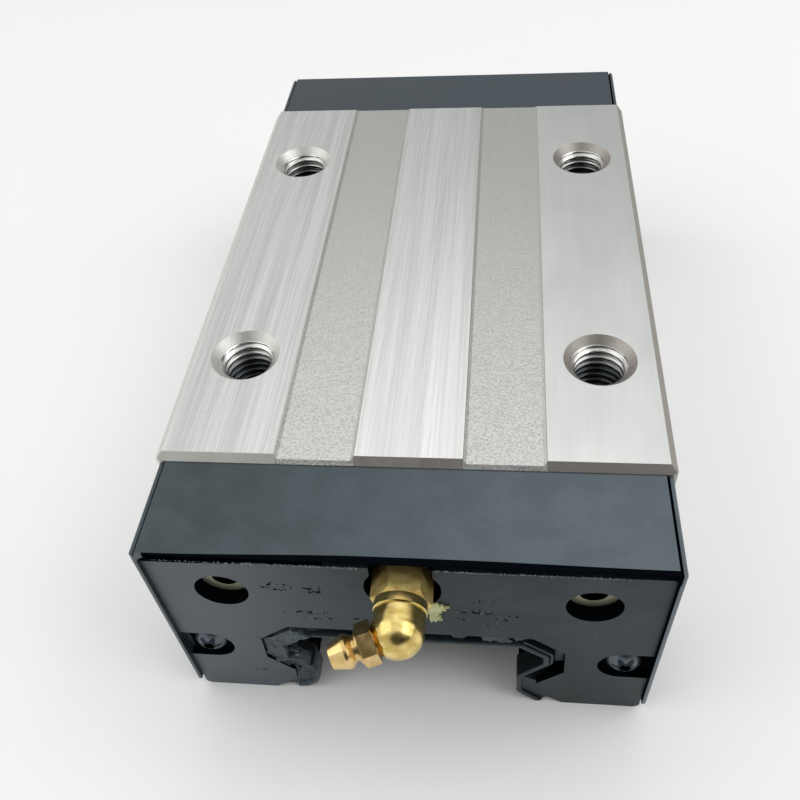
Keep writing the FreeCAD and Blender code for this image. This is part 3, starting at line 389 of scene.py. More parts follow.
# ---------------------------------------------------------------------------- finishes
@dataclass(frozen=True)
class BodySteel:
    """Bearing steel body: ground pads and sides, shot-blasted strips, milled bevels.

    The ground faces keep a fine lengthwise lay with broad soft bands, calmer on the right pad.
    The strips are dimpled, with painted shade in the dimples near the front, and painted darker
    at the far end. The milled bevels are the darkest, painted lighter on the left, and the middle
    pad is painted lighter towards the front as a painted reflection.
    """

    ground: str = "#ecedeb"
    ground_dark: str = "#c6c9c7"
    ground_painted_lit: str = "#f7f8f7"
    blasted: str = "#dadbd7"
    blasted_far_shade: str = "#bbbdba"
    dimple_shade: str = "#83837e"
    milled: str = "#b0aba4"
    milled_dark: str = "#938e88"
    milled_painted_lit_left: str = "#cfd0ca"
    lay_width: float = 0.5 * MM
    lay_length: float = 60 * MM
    band_width: float = 2.6 * MM
    cross_lay: float = 0.35 * MM
    dimple: float = 0.42 * MM
    recess_depth: float = 0.2 * MM
    centre_pad: float = 10.45 * MM
    outer_pad: float = 26.15 * MM

    def build(self) -> bpy.types.Material:
        """Return the body's material."""
        material, tree, shader = new_material("ground and blasted bearing steel")
        x, y, z = axes(tree, Kind.POSITION)
        turn_x, _, turn_z = axes(tree, Kind.NORMAL)
        sunk = add(tree, Kind.RISE, z * -1.0, 0.3 * self.recess_depth, self.recess_depth)
        inside = abs(x).between(self.centre_pad, self.outer_pad)
        blasted = sunk * inside * add(tree, Kind.RISE, turn_z, 0.3, 0.6)
        side = add(tree, Kind.RISE, abs(turn_x), 0.9, 0.99)
        flat = add(tree, Kind.RISE, turn_z, 0.9, 0.97) | side
        milled = (1.0 - flat) * (1.0 - blasted)
        nearness = add(tree, Kind.RISE, y, STEEL_HIGH.y, 1.1 * STEEL_LOW.y)

        height = 40 * MM
        fine = grain(tree, (self.lay_width, self.lay_length, height), 4.0)
        skew = grain(tree, (self.lay_width * 1.6, self.lay_length, height), 3.0, Lay.SKEWED)
        cross = grain(tree, (30 * MM, self.cross_lay, height), 2.0)
        bands = grain(tree, (self.band_width, self.lay_length * 3, height), 2.0, shift=0.7)
        cloud = grain(tree, (16 * MM, 26 * MM, 20 * MM), 2.0)
        lively = 1.0 - add(tree, Kind.RISE, x, 24 * MM, 27 * MM) * 0.85
        streak = fine * 0.45 + bands * 0.40 + skew * 0.22 + cross * 0.10
        streak = add(tree, Kind.RISE, streak, 0.42, 0.78)
        streak = streak * lively + (1.0 - lively) * cloud
        ground = add(tree, Kind.BLEND, streak, self.ground_dark, self.ground)
        # Painted reflection: the middle pad is painted lighter towards the front.
        pad = abs(x) < self.centre_pad
        ground = add(tree, Kind.BLEND, pad * nearness * 0.35, ground, self.ground_painted_lit)

        pits = grain(tree, self.dimple, 1.5)
        # Painted shade: dark dimple floors, stronger near the front, and the strips painted darker
        # at the far end.
        depth = (0.62 - add(tree, Kind.RISE, pits, 0.3, 0.75)) * nearness * 0.6
        strip_colour = add(tree, Kind.BLEND, nearness, self.blasted_far_shade, self.blasted)
        strip_colour = add(tree, Kind.BLEND, depth, strip_colour, self.dimple_shade)
        # Painted light: the bevels are painted lighter on the left.
        left = add(tree, Kind.RISE, x, -8 * MM, -30 * MM)
        bevel = add(tree, Kind.BLEND, grain(tree, 0.4 * MM), self.milled_dark, self.milled)
        bevel = add(tree, Kind.BLEND, left, bevel, self.milled_painted_lit_left)
        colour = add(tree, Kind.BLEND, blasted, ground, strip_colour)

        lay = add(tree, Kind.RELIEF, fine * flat, 0.004 * MM)
        dimples = add(tree, Kind.RELIEF, pits * blasted, 0.10 * MM, lay)
        cuts = grain(tree, 0.35 * MM) * milled
        fill(shader, {
            "Base Color": add(tree, Kind.BLEND, milled, colour, bevel), "Metallic": 1.0,
            "Roughness": streak * -0.10 + 0.36 + blasted * 0.10 + milled * 0.18,
            "Normal": add(tree, Kind.RELIEF, cuts, 0.03 * MM, dimples)})
        return material


@dataclass(frozen=True)
class Metal:
    """A plain metal finish with a fine grain.

    Args of the class are its name, colours, roughness range, grain size and grain depth. Behind
    `matt_from` in Y it is dull. Below a given height in Z it turns dark, painted shade deep in a
    hole. With `socket` set, painted shade stands in the six-lobed sockets of the cap screws, out to
    that radius.
    """

    name: str
    light: str
    dark: str
    rough: tuple[float, float]
    size: float | tuple[float, float, float]
    depth: float = 0.002 * MM
    matt_from: float | None = None
    shade_below: float | None = None
    socket: float | None = None
    shade_colour: str = "#141c24"
    socket_shade: str = "#1a252d"

    def star(self, tree: bpy.types.NodeTree) -> Field:
        """Six-lobed painted shade in the sockets of the cap screws."""
        across, upward, reach = from_pair(tree, "front_cap_screws")
        wave = add(tree, Kind.COSINE, add(tree, Kind.BEARING, upward, across) * 6.0)
        return add(tree, Kind.RISE, reach / (wave * 0.2 + 0.8), self.socket, 0.88 * self.socket)

    def build(self) -> bpy.types.Material:
        """Return the metal's material."""
        material, tree, shader = new_material(self.name)
        _, y, z = axes(tree, Kind.POSITION)
        pattern = grain(tree, self.size)
        share = add(tree, Kind.RISE, pattern, 0.3, 0.7)
        colour = add(tree, Kind.BLEND, share, self.dark, self.light)
        rough = pattern * (self.rough[1] - self.rough[0]) + self.rough[0]
        # Painted shade: darker further down, deep in a hole.
        if self.shade_below is not None:
            sunk = add(tree, Kind.RISE, z, self.shade_below, 2.6 * self.shade_below)
            colour = add(tree, Kind.BLEND, sunk * 0.93, colour, self.shade_colour)
        # Painted shade in the screws' six-lobed sockets.
        if self.socket is not None:
            colour = add(tree, Kind.BLEND, self.star(tree) * 0.9, colour, self.socket_shade)
        if self.matt_from is not None:
            rough = rough + (y > self.matt_from) * 0.34
        fill(shader, {"Base Color": colour, "Roughness": rough, "Metallic": 1.0,
                      "Normal": add(tree, Kind.RELIEF, pattern, self.depth)})
        return material


@dataclass(frozen=True)
class Moulded:
    """A moulded plastic or rubber: faint mottling, fine grain in the surface, dust in patches.

    The first switch paints shade into the caps' recesses, groove, channel walls and deck edge, and
    paints the caps darker on the left and lighter on the right. The second paints shade on the
    sides of the lip, more of them on the left.
    """

    name: str
    light: str
    dark: str
    rough: tuple[float, float]
    grain_size: float
    depth: float
    dust: str = "#6b7075"
    dust_share: float = 0.0
    level: float = 0.5
    painted_light_and_shade: bool = False
    shaded_lip_sides: bool = False
    mist: str = "#050708"
    cap_shaded_left: str = "#0d171c"
    cap_lit_right: str = "#505a62"
    rear: str = "#0f1d28"
    hollow_shade: str = "#070b0f"
    lip_side_shade: str = "#060b0f"

    def paint_cap_light_and_shade(self, tree: bpy.types.NodeTree, colour: Field) -> tuple[Field, Field]:
        """Painted shade in the caps' recesses, groove, channel walls and deck edge, and painted
        light:
        the caps darker on the left and lighter on the right.

        Args:
            tree: The material's tree.
            colour: Colour of the moulding before painted light and shade.

        Returns:
            The colour with painted light and shade, and the share left unshaded.
        """
        x, y, z = axes(tree, Kind.POSITION)
        # Painted light: the caps are painted darker on the left and lighter on the right, as the
        # light falls.
        colour = add(tree, Kind.BLEND, add(tree, Kind.RISE, x, -45 * MM, 45 * MM),
                     add(tree, Kind.BLEND, 0.65, colour, self.cap_shaded_left),
                     add(tree, Kind.BLEND, 0.55, colour, self.cap_lit_right))
        colour = add(tree, Kind.BLEND, (y > 0.0) * 0.8, colour, self.rear)
        # Painted shade: near black on the cap's face behind the plate, in the top right groove, on
        # the deck's front edge over the plate and on the channel's side walls.
        shade_behind_plate = (x.between(PLATE_LOW.x + 0.7 * MM, PLATE_HIGH.x + 0.1 * MM)
                  * z.between(CAP_LOW.z + 0.1 * MM, PLATE_HIGH.z + 0.1 * MM))
        groove = x.between(47.8 * MM, 48.42 * MM) * (z > CAP_HIGH.z - 1.0 * MM)
        bow = (add(tree, Kind.RISE, x, -47 * MM, -4 * MM) * (1.05 * MM)
               - add(tree, Kind.RISE, x, 10 * MM, 47 * MM) * (0.4 * MM))
        deck_edge_shade = (y < bow + (CAP_LOW.y + 0.3 * MM)) * x.between(-46.6 * MM, 48.4 * MM)
        deck_edge_shade = deck_edge_shade * (z > PLATE_HIGH.z)
        sideways = abs(axes(tree, Kind.FACE_NORMAL)[1]) < 0.5
        walls = (abs(x) < 36 * MM) * (z < -30 * MM) * sideways
        dark = shade_behind_plate | groove | deck_edge_shade | walls
        return add(tree, Kind.BLEND, dark, colour, self.hollow_shade), 1.0 - dark

    def build(self) -> bpy.types.Material:
        """Return the moulded material."""
        material, tree, shader = new_material(self.name)
        mottle = grain(tree, 7 * MM, 5.0)
        share = add(tree, Kind.RISE, mottle, 0.3, 0.7)
        colour = add(tree, Kind.BLEND, share, self.dark, self.light)
        mist = add(tree, Kind.RISE, grain(tree, 0.35 * MM, shift=0.9), 0.35, 0.65)
        colour = add(tree, Kind.BLEND, mist * 0.28, colour, self.mist)
        specks = add(tree, Kind.RISE, grain(tree, 0.5 * MM, 4.0, shift=0.3), 0.62, 0.75)
        colour = add(tree, Kind.BLEND, specks * self.dust_share, colour, self.dust)
        level = self.level
        # Painted light and shade on the caps.
        if self.painted_light_and_shade:
            colour, unshaded = self.paint_cap_light_and_shade(tree, colour)
            level = unshaded * self.level
        # Painted shade on the lip's sides, more of them on the left.
        if self.shaded_lip_sides:
            x, _, _ = axes(tree, Kind.POSITION)
            _, turn_y, turn_z = axes(tree, Kind.FACE_NORMAL)
            sides = (abs(turn_y) < (x < 0.0) * 0.4 + 0.35) * (turn_z < 0.72)
            colour = add(tree, Kind.BLEND, sides, colour, self.lip_side_shade)
        surface = grain(tree, self.grain_size, 2.0)
        fill(shader, {"Base Color": colour, "Specular IOR Level": level,
                      "Specular Tint": COOL_GLOSS,
                      "Roughness": mottle * (self.rough[1] - self.rough[0]) + self.rough[0],
                      "Normal": add(tree, Kind.RELIEF, surface, self.depth)})
        return material


@dataclass(frozen=True)
class CoatedSheet:
    """Black coated sheet steel: smooth, with rubbed patches and short scratches."""

    base: str = "#1a2024"
    rubbed: str = "#2b3339"
    scratch: str = "#787d80"
    left_reflection: str = "#565f66"
    pit: str = "#12181c"
    shade_colour: str = "#060a0d"
    # Worn patches on the front sheet: middle and half size in X and Z, in millimetres.
    spots: tuple[tuple[float, float, float, float], ...] = (
        (-24.0, -12.8, 4.5, 2.2), (-17.0, -13.6, 2.6, 2.0), (-19.5, -22.4, 6.5, 0.8),
        (-17.5, -24.6, 4.0, 0.8), (-9.5, -24.0, 3.0, 0.5), (13.0, -19.4, 4.6, 1.5),
        (19.4, -21.0, 3.4, 1.5), (11.0, -22.0, 4.5, 0.7), (14.5, -15.0, 5.0, 0.9),
        (16.0, -24.6, 3.0, 0.6), (-33.2, -49.4, 2.6, 0.6), (-31.6, -34.6, 1.2, 1.2),
        (34.0, -46.4, 1.6, 0.5))

    def wear(self, tree: bpy.types.NodeTree) -> Field:
        """Share of wear from 0 to 1 on the front sheet, strongest in the middle of each spot."""
        x, y, z = axes(tree, Kind.POSITION)
        total = 0.0
        for middle_x, middle_z, half_x, half_z in self.spots:
            across = (x - middle_x * MM) / (half_x * MM)
            upward = (z - middle_z * MM) / (half_z * MM)
            reach = across * across + upward * upward
            spot = 1.0 - add(tree, Kind.RISE, reach, 0.35, 1.0)
            total = add(tree, Kind.EITHER, total, spot)
        return total * (y < 0.0)

    def build(self) -> bpy.types.Material:
        """Return the coated sheet's material."""
        material, tree, shader = new_material("black coated sheet steel")
        x, _, z = axes(tree, Kind.POSITION)
        cloud = grain(tree, (14 * MM, 14 * MM, 9 * MM), 5.0)
        rubbed = add(tree, Kind.RISE, cloud, 0.35, 0.7)
        colour = add(tree, Kind.BLEND, rubbed, self.base, self.rubbed)
        hair = grain(tree, (0.22 * MM, 4 * MM, 3 * MM), 2.0, shift=0.11)
        patch = grain(tree, (9 * MM, 9 * MM, 6 * MM), 2.0, shift=0.4)
        marks = (add(tree, Kind.RISE, hair, 0.66, 0.74)
                 * add(tree, Kind.RISE, patch, 0.56, 0.68))
        colour = add(tree, Kind.BLEND, marks * 0.7, colour, self.scratch)
        # Painted reflection: the left of the sheet is painted lighter.
        left_reflection = add(tree, Kind.RISE, x, 0.0, -40 * MM)
        colour = add(tree, Kind.BLEND, left_reflection * 0.78, colour, self.left_reflection)
        speckle = grain(tree, 0.9 * MM, shift=0.21)
        worn = self.wear(tree)
        pits = add(tree, Kind.RISE, speckle, 0.52, 0.56) * worn
        rims = add(tree, Kind.RISE, speckle, 0.47, 0.51) * worn * (1.0 - pits)
        colour = add(tree, Kind.BLEND, rims * 0.3, colour, self.scratch)
        colour = add(tree, Kind.BLEND, pits * 0.9, colour, self.pit)
        # Painted shade: the cut edges of the openings, and a strip along the top edge that widens
        # to the left, turn near black and lose their gloss.
        cut_face = abs(axes(tree, Kind.FACE_NORMAL)[1]) < 0.5
        inner = (abs(x) < 48.1 * MM) * (z < PLATE_HIGH.z - 0.5 * MM)
        droop = add(tree, Kind.RISE, x, -14 * MM, -44 * MM) * (0.75 * MM)
        painted_shade = cut_face * inner | (z + droop > PLATE_HIGH.z)
        dents = add(tree, Kind.RELIEF, cloud, 0.05 * MM)
        fill(shader, {"Base Color": add(tree, Kind.BLEND, painted_shade, colour, self.shade_colour),
                      "Specular Tint": COOL_GLOSS,
                      "Specular IOR Level": (1.0 - (painted_shade | pits)) * 0.3,
                      "Roughness": cloud * 0.2 + 0.32,
                      "Normal": add(tree, Kind.RELIEF, marks, 0.02 * MM, dents)})
        return material


@dataclass(frozen=True)
class Bush:
    """Tarnished bush: dull olive on its end face, with painted shade, black, down its bore."""

    face: str = "#c6c6ae"
    shade_colour: str = "#0b0c09"
    bore: float = 2.75 * MM

    def build(self) -> bpy.types.Material:
        """Return the bush's material."""
        material, tree, shader = new_material("tarnished brass bush")
        _, _, reach = from_pair(tree, "front_port_bushes")
        # Painted shade: black inside the bore's radius.
        fill(shader, {
            "Base Color": add(tree, Kind.BLEND, reach < self.bore, self.face, self.shade_colour),
            "Metallic": 1.0, "Roughness": grain(tree, 1.5 * MM) * 0.2 + 0.4})
        return material


class Finishes:
    """Every material of the carriage, made once."""

    def __init__(self) -> None:
        """Build all materials."""
        self.body_steel = BodySteel().build()
        self.cut_steel = Metal("freshly cut steel thread", "#dcdcda", "#a9a9a6", (0.22, 0.36),
                               (3 * MM, 3 * MM, 0.2 * MM), shade_below=-3.0 * MM).build()
        self.hardened = Metal("polished hardened steel", "#e2e3e3", "#c4c6c7", (0.12, 0.22),
                              0.6 * MM).build()
        self.brass = Metal("turned brass", "#ecd68f", "#c6ac62", (0.16, 0.26),
                           (3.0 * MM, 1.4 * MM, 3.0 * MM), 0.0006 * MM,
                           matt_from=PLATE_LOW.y - 3.0 * MM).build()
        self.nipple = Metal("turned nipple brass", "#eacd90", "#caa968", (0.20, 0.30),
                            2.4 * MM, 0.0006 * MM).build()
        self.tarnished = Bush().build()
        self.wire = Metal("drawn spring wire", "#c9cacb", "#a4a6a8", (0.2, 0.3), 0.2 * MM).build()
        self.black_oxide = Metal("worn black oxide screw steel", "#666d73", "#5a6167",
                                 (0.30, 0.40), 2.0 * MM, 0.001 * MM, socket=2.9 * MM).build()
        self.cap = Moulded("moulded glass-filled nylon", "#465158", "#1d2429", (0.32, 0.46),
                           0.25 * MM, 0.010 * MM, level=0.90, painted_light_and_shade=True).build()
        self.guide = Moulded("moulded acetal", "#0e1417", "#080c0f", (0.40, 0.50),
                             0.4 * MM, 0.006 * MM, level=0.35).build()
        self.cage = Moulded("cage nylon", "#3a3c3e", "#2c2e30", (0.4, 0.5), 0.4 * MM,
                            0.006 * MM).build()
        self.rubber = Moulded("nitrile rubber", "#2b353c", "#172027", (0.38, 0.58), 0.8 * MM,
                              0.03 * MM, dust="#8b8f92", dust_share=0.25, shaded_lip_sides=True).build()
        self.torn = Moulded("torn nitrile rubber", "#49545b", "#252e34", (0.34, 0.52), 0.5 * MM,
                            0.06 * MM, dust="#8b8f92", dust_share=0.25).build()
        self.sheet = CoatedSheet().build()
        self.tape = Moulded("thread tape scrap", "#e2e3ae", "#a3a86c", (0.5, 0.7), 0.5 * MM,
                            0.05 * MM, dust="#f3f3e6", dust_share=0.9).build()
        self.burr = Moulded("rolled edge burr", "#b9bdc0", "#6c7073", (0.4, 0.6), 0.3 * MM,
                            0.02 * MM).build()

    def dress_frame(self) -> None:
        """Give each CAD node its finish."""
        rules = (
            ("steel_block", self.body_steel), ("rollers_", self.hardened),
            ("nipple_ball", self.hardened), ("roller_cage", self.cage),
            ("return_tube", self.guide), ("return_guide", self.guide), ("retainer", self.guide),
            ("seal", self.rubber), ("end_cap", self.cap), ("face_plate", self.sheet),
            ("cap_screws", self.black_oxide), ("grease_plug", self.black_oxide),
            ("port_bushes", self.tarnished), ("grease_elbow", self.brass),
            ("grease_nipple", self.nipple), ("nipple_spring", self.wire),
        )
        for node in sorted(NODES):
            material = next(finish for word, finish in rules if word in node)
            for slot in NODES[node].material_slots:
                slot.link = "OBJECT"
                slot.material = material
            LOG.info("%s: %s", node, material.name)


# ---------------------------------------------------------------------------- tapped holes
@dataclass
class TappedThreads:
    """The cut threads in the four table bolt holes, which the solids leave as plain walls."""

    finishes: Finishes
    pitch: float = 1.75 * MM
    root: float = 5.88 * MM
    crest: float = 5.05 * MM
    wall: float = 6.3 * MM
    mouth: float = 7.5 * MM
    top: float = -1.6 * MM
    bottom: float = -18.4 * MM
    around: int = 72
    rows_per_turn: int = 14
    root_flat: float = 0.125      # share of half a pitch
    flank: float = 0.625

    def radius(self, angle: float, z: float) -> float:
        """Inner radius of the thread at an angle and height, cut back by the countersink."""
        phase = (z / self.pitch + angle / (2 * math.pi)) % 1.0
        rise = 1.0 - abs(2.0 * phase - 1.0)
        share = min(1.0, max(0.0, (rise - self.root_flat) / self.flank))
        return max(self.root + (self.crest - self.root) * share, self.mouth + z)

    @staticmethod
    def spot(radius: float, angle: float, z: float) -> Vector:
        """Point at a radius, an angle and a height."""
        return Vector((radius * math.cos(angle), radius * math.sin(angle), z))

    def thread(self) -> bpy.types.Mesh:
        """Mesh of one thread about the Z axis, as a closed sleeve."""
        count = round((self.top - self.bottom) / self.pitch * self.rows_per_turn)
        rings = []
        angles = [2 * math.pi * k / self.around for k in range(self.around)]
        for row in range(count + 1):
            z = self.top + (self.bottom - self.top) * row / count
            rings.append([self.spot(self.radius(a, z), a, z) for a in angles])
        for z in (self.bottom, self.top):
            rings.append([self.spot(self.wall, a, z) for a in angles])
        rings.append(rings[0])
        shape = bmesh.new()
        sweep(shape, rings, caps=False)
        return finish_mesh("thread", shape)

    def build(self) -> bpy.types.Object:
        """Set one thread in each hole of the bolt pattern.

        Returns:
            The four threads as one piece.
        """
        bolts = MOUNTS["table_bolts"]["dims"]
        single = bpy.data.objects.new("thread", self.thread())
        bpy.context.scene.collection.objects.link(single)
        tree, start, names = geometry_tree("threads on the bolt pattern", {
            "Spacing X": "Float", "Spacing Y": "Float", "Thread": "Object"})
        grid = add(tree, "GeometryNodeMeshGrid", start["Spacing X"], start["Spacing Y"], 2, 2)
        info = add(tree, "GeometryNodeObjectInfo", start["Thread"])
        spread = add(tree, "GeometryNodeInstanceOnPoints",
                     inputs={"Points": grid, "Instance": info["Geometry"]})
        realize(tree, spread, self.finishes.cut_steel)
        mesh = baked(tree, "threads", {names["Spacing X"]: bolts["spacing_x_mm"] * MM,
                                       names["Spacing Y"]: bolts["spacing_y_mm"] * MM,
                                       names["Thread"]: single})
        bpy.data.objects.remove(single)
        return mesh_object("bolt_threads", mesh, self.finishes.cut_steel, 50.0)


# ---------------------------------------------------------------------------- front seal
def rounded(path: list[Point], radius: float, steps: int = 4) -> list[tuple[Point, Point, int]]:
    """Round the corners of an open path.

    Args:
        path: Corners in X and Z.
        radius: Corner radius.
        steps: Pieces per corner.

    Returns:
        Points with their left-hand normals and the corner that each belongs to.
    """
    points = [Vector(p) for p in path]
    runs = [(b - a).normalized() for a, b in zip(points, points[1:])]
    out = [(tuple(points[0]), (-runs[0].y, runs[0].x), 0)]
    for k in range(1, len(points) - 1):
        before, after = runs[k - 1], runs[k]
        turn = before.angle_signed(after)
        back = radius * math.tan(abs(turn) / 2.0)
        start, stop = points[k] - before * back, points[k] + after * back
        for j in range(steps + 1):
            share = j / steps
            middle = ((1 - share) ** 2 * start + 2 * share * (1 - share) * points[k]
                      + share ** 2 * stop)
            way = before.lerp(after, share).normalized()
            out.append((tuple(middle), (-way.y, way.x), k))
    out.append((tuple(points[-1]), (-runs[-1].y, runs[-1].x), len(points) - 1))
    return out


def metres(path: tuple[Point, ...] | list[Point]) -> list[Point]:
    """A path in millimetres, in metres."""
    return [(x * MM, z * MM) for x, z in path]


def mitre(path: list[Point], k: int, gap: float) -> Point:
    """Corner k of a path moved sideways by gap, to the left of the way along it."""
    points = [Vector(p) for p in path]
    runs = [(b - a).normalized() for a, b in zip(points, points[1:])]
    before, after = runs[max(k - 1, 0)], runs[min(k, len(runs) - 1)]
    sides = [Vector((-run.y, run.x)) for run in (before, after)]
    middle = (sides[0] + sides[1]).normalized()
    return tuple(points[k] + middle * (gap / middle.dot(sides[0])))


@dataclass
class FrontSeal:
    """The front end seal: a lip round the rail's way, its groove and its base.

    Sizes are in metres, ways and outlines in millimetres of X and Z. Depths run inwards from the
    face plate's front. The lip is torn off at the upper left and pressed flat down the left side.
    """

    finishes: Finishes
    lip_width: float = 1.1 * MM
    edge: float = 0.25 * MM
    back: float = 4.9 * MM
    web: float = 3.9 * MM
    panel: float = 1.65 * MM
    reach: float = 6.3 * MM
    panel_top: float = -49.1 * MM
    path: tuple[Point, ...] = ((25.9, -57.8), (21.9, -53.6), (21.8, -46.1), (26.95, -40.0),
                               (26.95, -37.4), (21.8, -33.0))
    # Ends of the lip and of the base at the foot, where both follow the plate's lower edge.
    toe: tuple[Point, Point] = ((27.49, -57.36), (30.07, -53.05))
    ridge: tuple[Point, ...] = ((22.6, -31.5), (25.0, -33.5), (28.55, -36.7), (28.65, -40.2),
                                (27.4, -41.8))
    ridge_width: float = 0.6 * MM
    ridge_depth: float = 0.45 * MM
    # Cushion over the groove at the right foot, and the flap beside the lip's upper bend.
    cushion: tuple[Point, ...] = ((22.95, -47.3), (25.9, -48.85), (26.3, -52.95), (28.7, -55.25),
                                  (28.85, -56.3), (27.35, -57.7), (26.5, -57.7), (23.1, -54.0))
    cushion_depth: float = 0.7 * MM
    flap: tuple[Point, ...] = ((29.3, -35.6), (30.9, -35.0), (31.05, -41.0), (29.4, -41.2))
    flap_depth: float = 1.7 * MM
    bend: float = 0.7 * MM
    ring_gap: float = 0.45 * MM
    torn_from: float = -21.9 * MM
    torn_above: float = -36.5 * MM

    def corners(self) -> list[Point]:
        """The lip's way from the right foot over the top to the left foot."""
        right = metres(self.path)
        return right + [(-x, z) for x, z in reversed(right)]

    def stations(self) -> list[tuple[Vector, Vector, Vector]]:
        """Lip point, outward normal and far point of the base, evenly along the way."""
        way = self.corners()
        bends = []
        for point, normal, corner in rounded(way, self.bend):
            far = Vector(mitre(way, corner, -self.reach))
            if corner in (0, len(way) - 1):
                side = 1 if corner == 0 else -1
                far = Vector((side * self.toe[1][0] * MM, self.toe[1][1] * MM))
            bends.append((Vector(point), -Vector(normal), far))
        out = []
        for first, second in zip(bends, bends[1:]):
            out.append(first)
            pieces = max(1, round((second[0] - first[0]).length / self.ring_gap))
            for k in range(1, pieces):
                spot, outward, far = (a.lerp(b, k / pieces) for a, b in zip(first, second))
                out.append((spot, outward.normalized(), far))
        out.append(bends[-1])
        return out

    def depths(self, x: float, z: float) -> tuple[float, float]:
        """Depth of the lip and of the web behind it at one place.

        Args:
            x: Place across the front, in metres.
            z: Its height.

        Returns:
            Both depths behind the face plate's front, in metres.
        """
        low = z < self.panel_top
        ragged = noise.noise(Vector((x, 0.0, z)) / (0.8 * MM))
        lip = 0.0
        if x < self.torn_from and z > self.torn_above:
            lip = (2.9 + 0.7 * ragged) * MM
        elif x < self.torn_from:
            lip = (1.15 + 0.1 * ragged) * MM if low else (2.2 + 0.5 * ragged) * MM
        return lip, self.panel if low else self.web

    def build(self) -> bpy.types.Object:
        """Model the seal.

        Returns:
            The seal, which stands in for the plain one.
        """
        front = PLATE_LOW.y
        rings = []
        for point, outward, far in self.stations():
            lip, web = self.depths(*point)
            toe = None
            if abs(point.y - self.corners()[0][1]) < 1e-7:
                side = 1 if point.x > 0 else -1
                toe = Vector((side * self.toe[0][0] * MM, self.toe[0][1] * MM))
            ring = []
            for reach, depth in ((0.0, self.back), (0.0, lip + self.edge), (self.edge, lip),
                                 (self.lip_width - self.edge, lip),
                                 (self.lip_width, lip + self.edge),
                                 (self.lip_width, web), (None, web), (None, self.back)):
                if reach is None:
                    spot = far
                elif toe is not None:
                    spot = point.lerp(toe, reach / self.lip_width)
                else:
                    spot = point + outward * reach
                ring.append(Vector((spot.x, front + depth, spot.y)))
            rings.append(ring)
        shape = bmesh.new()
        sweep(shape, rings)
        strip(shape, metres(self.ridge), self.ridge_width, front + self.ridge_depth,
              front + self.web + 0.05 * MM, 0.15 * MM)
        for outline, depth in ((self.cushion, self.cushion_depth), (self.flap, self.flap_depth)):
            corners = [Vector((x, front + depth, z)) for x, z in metres(outline)]
            below = Vector((0.0, self.back - 0.1 * MM - depth, 0.0))
            sweep(shape, [corners, [corner + below for corner in corners]])
        mesh = finish_mesh("front_seal", shape, 2e-6)
        obj = mesh_object("front_seal_lip", mesh, self.finishes.rubber, 40.0)
        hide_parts("front_end_seal")
        return obj


def strip(shape: bmesh.types.BMesh, path: list[Point], width: float, front: float, back: float,
          edge: float, ragged: float = 0.0) -> None:
    """Add a standing strip of rubber with softened front edges.

    Args:
        shape: Bmesh that gets the strip.
        path: Its middle line in X and Z, in metres.
        width: Thickness.
        front: Y of its front.
        back: Y of its back.
        edge: Size of the softened edges.
        ragged: How far the front wanders.
    """
    rings = []
    for point, normal, _ in rounded(path, 0.6 * MM):
        half = width / 2.0
        wander = ragged * noise.noise(Vector((point[0], 0.3, point[1])) / (1.1 * MM))
        ring = []
        for side, y in ((-half, back), (-half, front + edge), (-half + edge, front),
                        (half - edge, front), (half, front + edge), (half, back)):
            ring.append(Vector((point[0] + normal[0] * side, y + (wander if y < back else 0.0),
                                point[1] + normal[1] * side)))
        rings.append(ring)
    sweep(shape, rings)


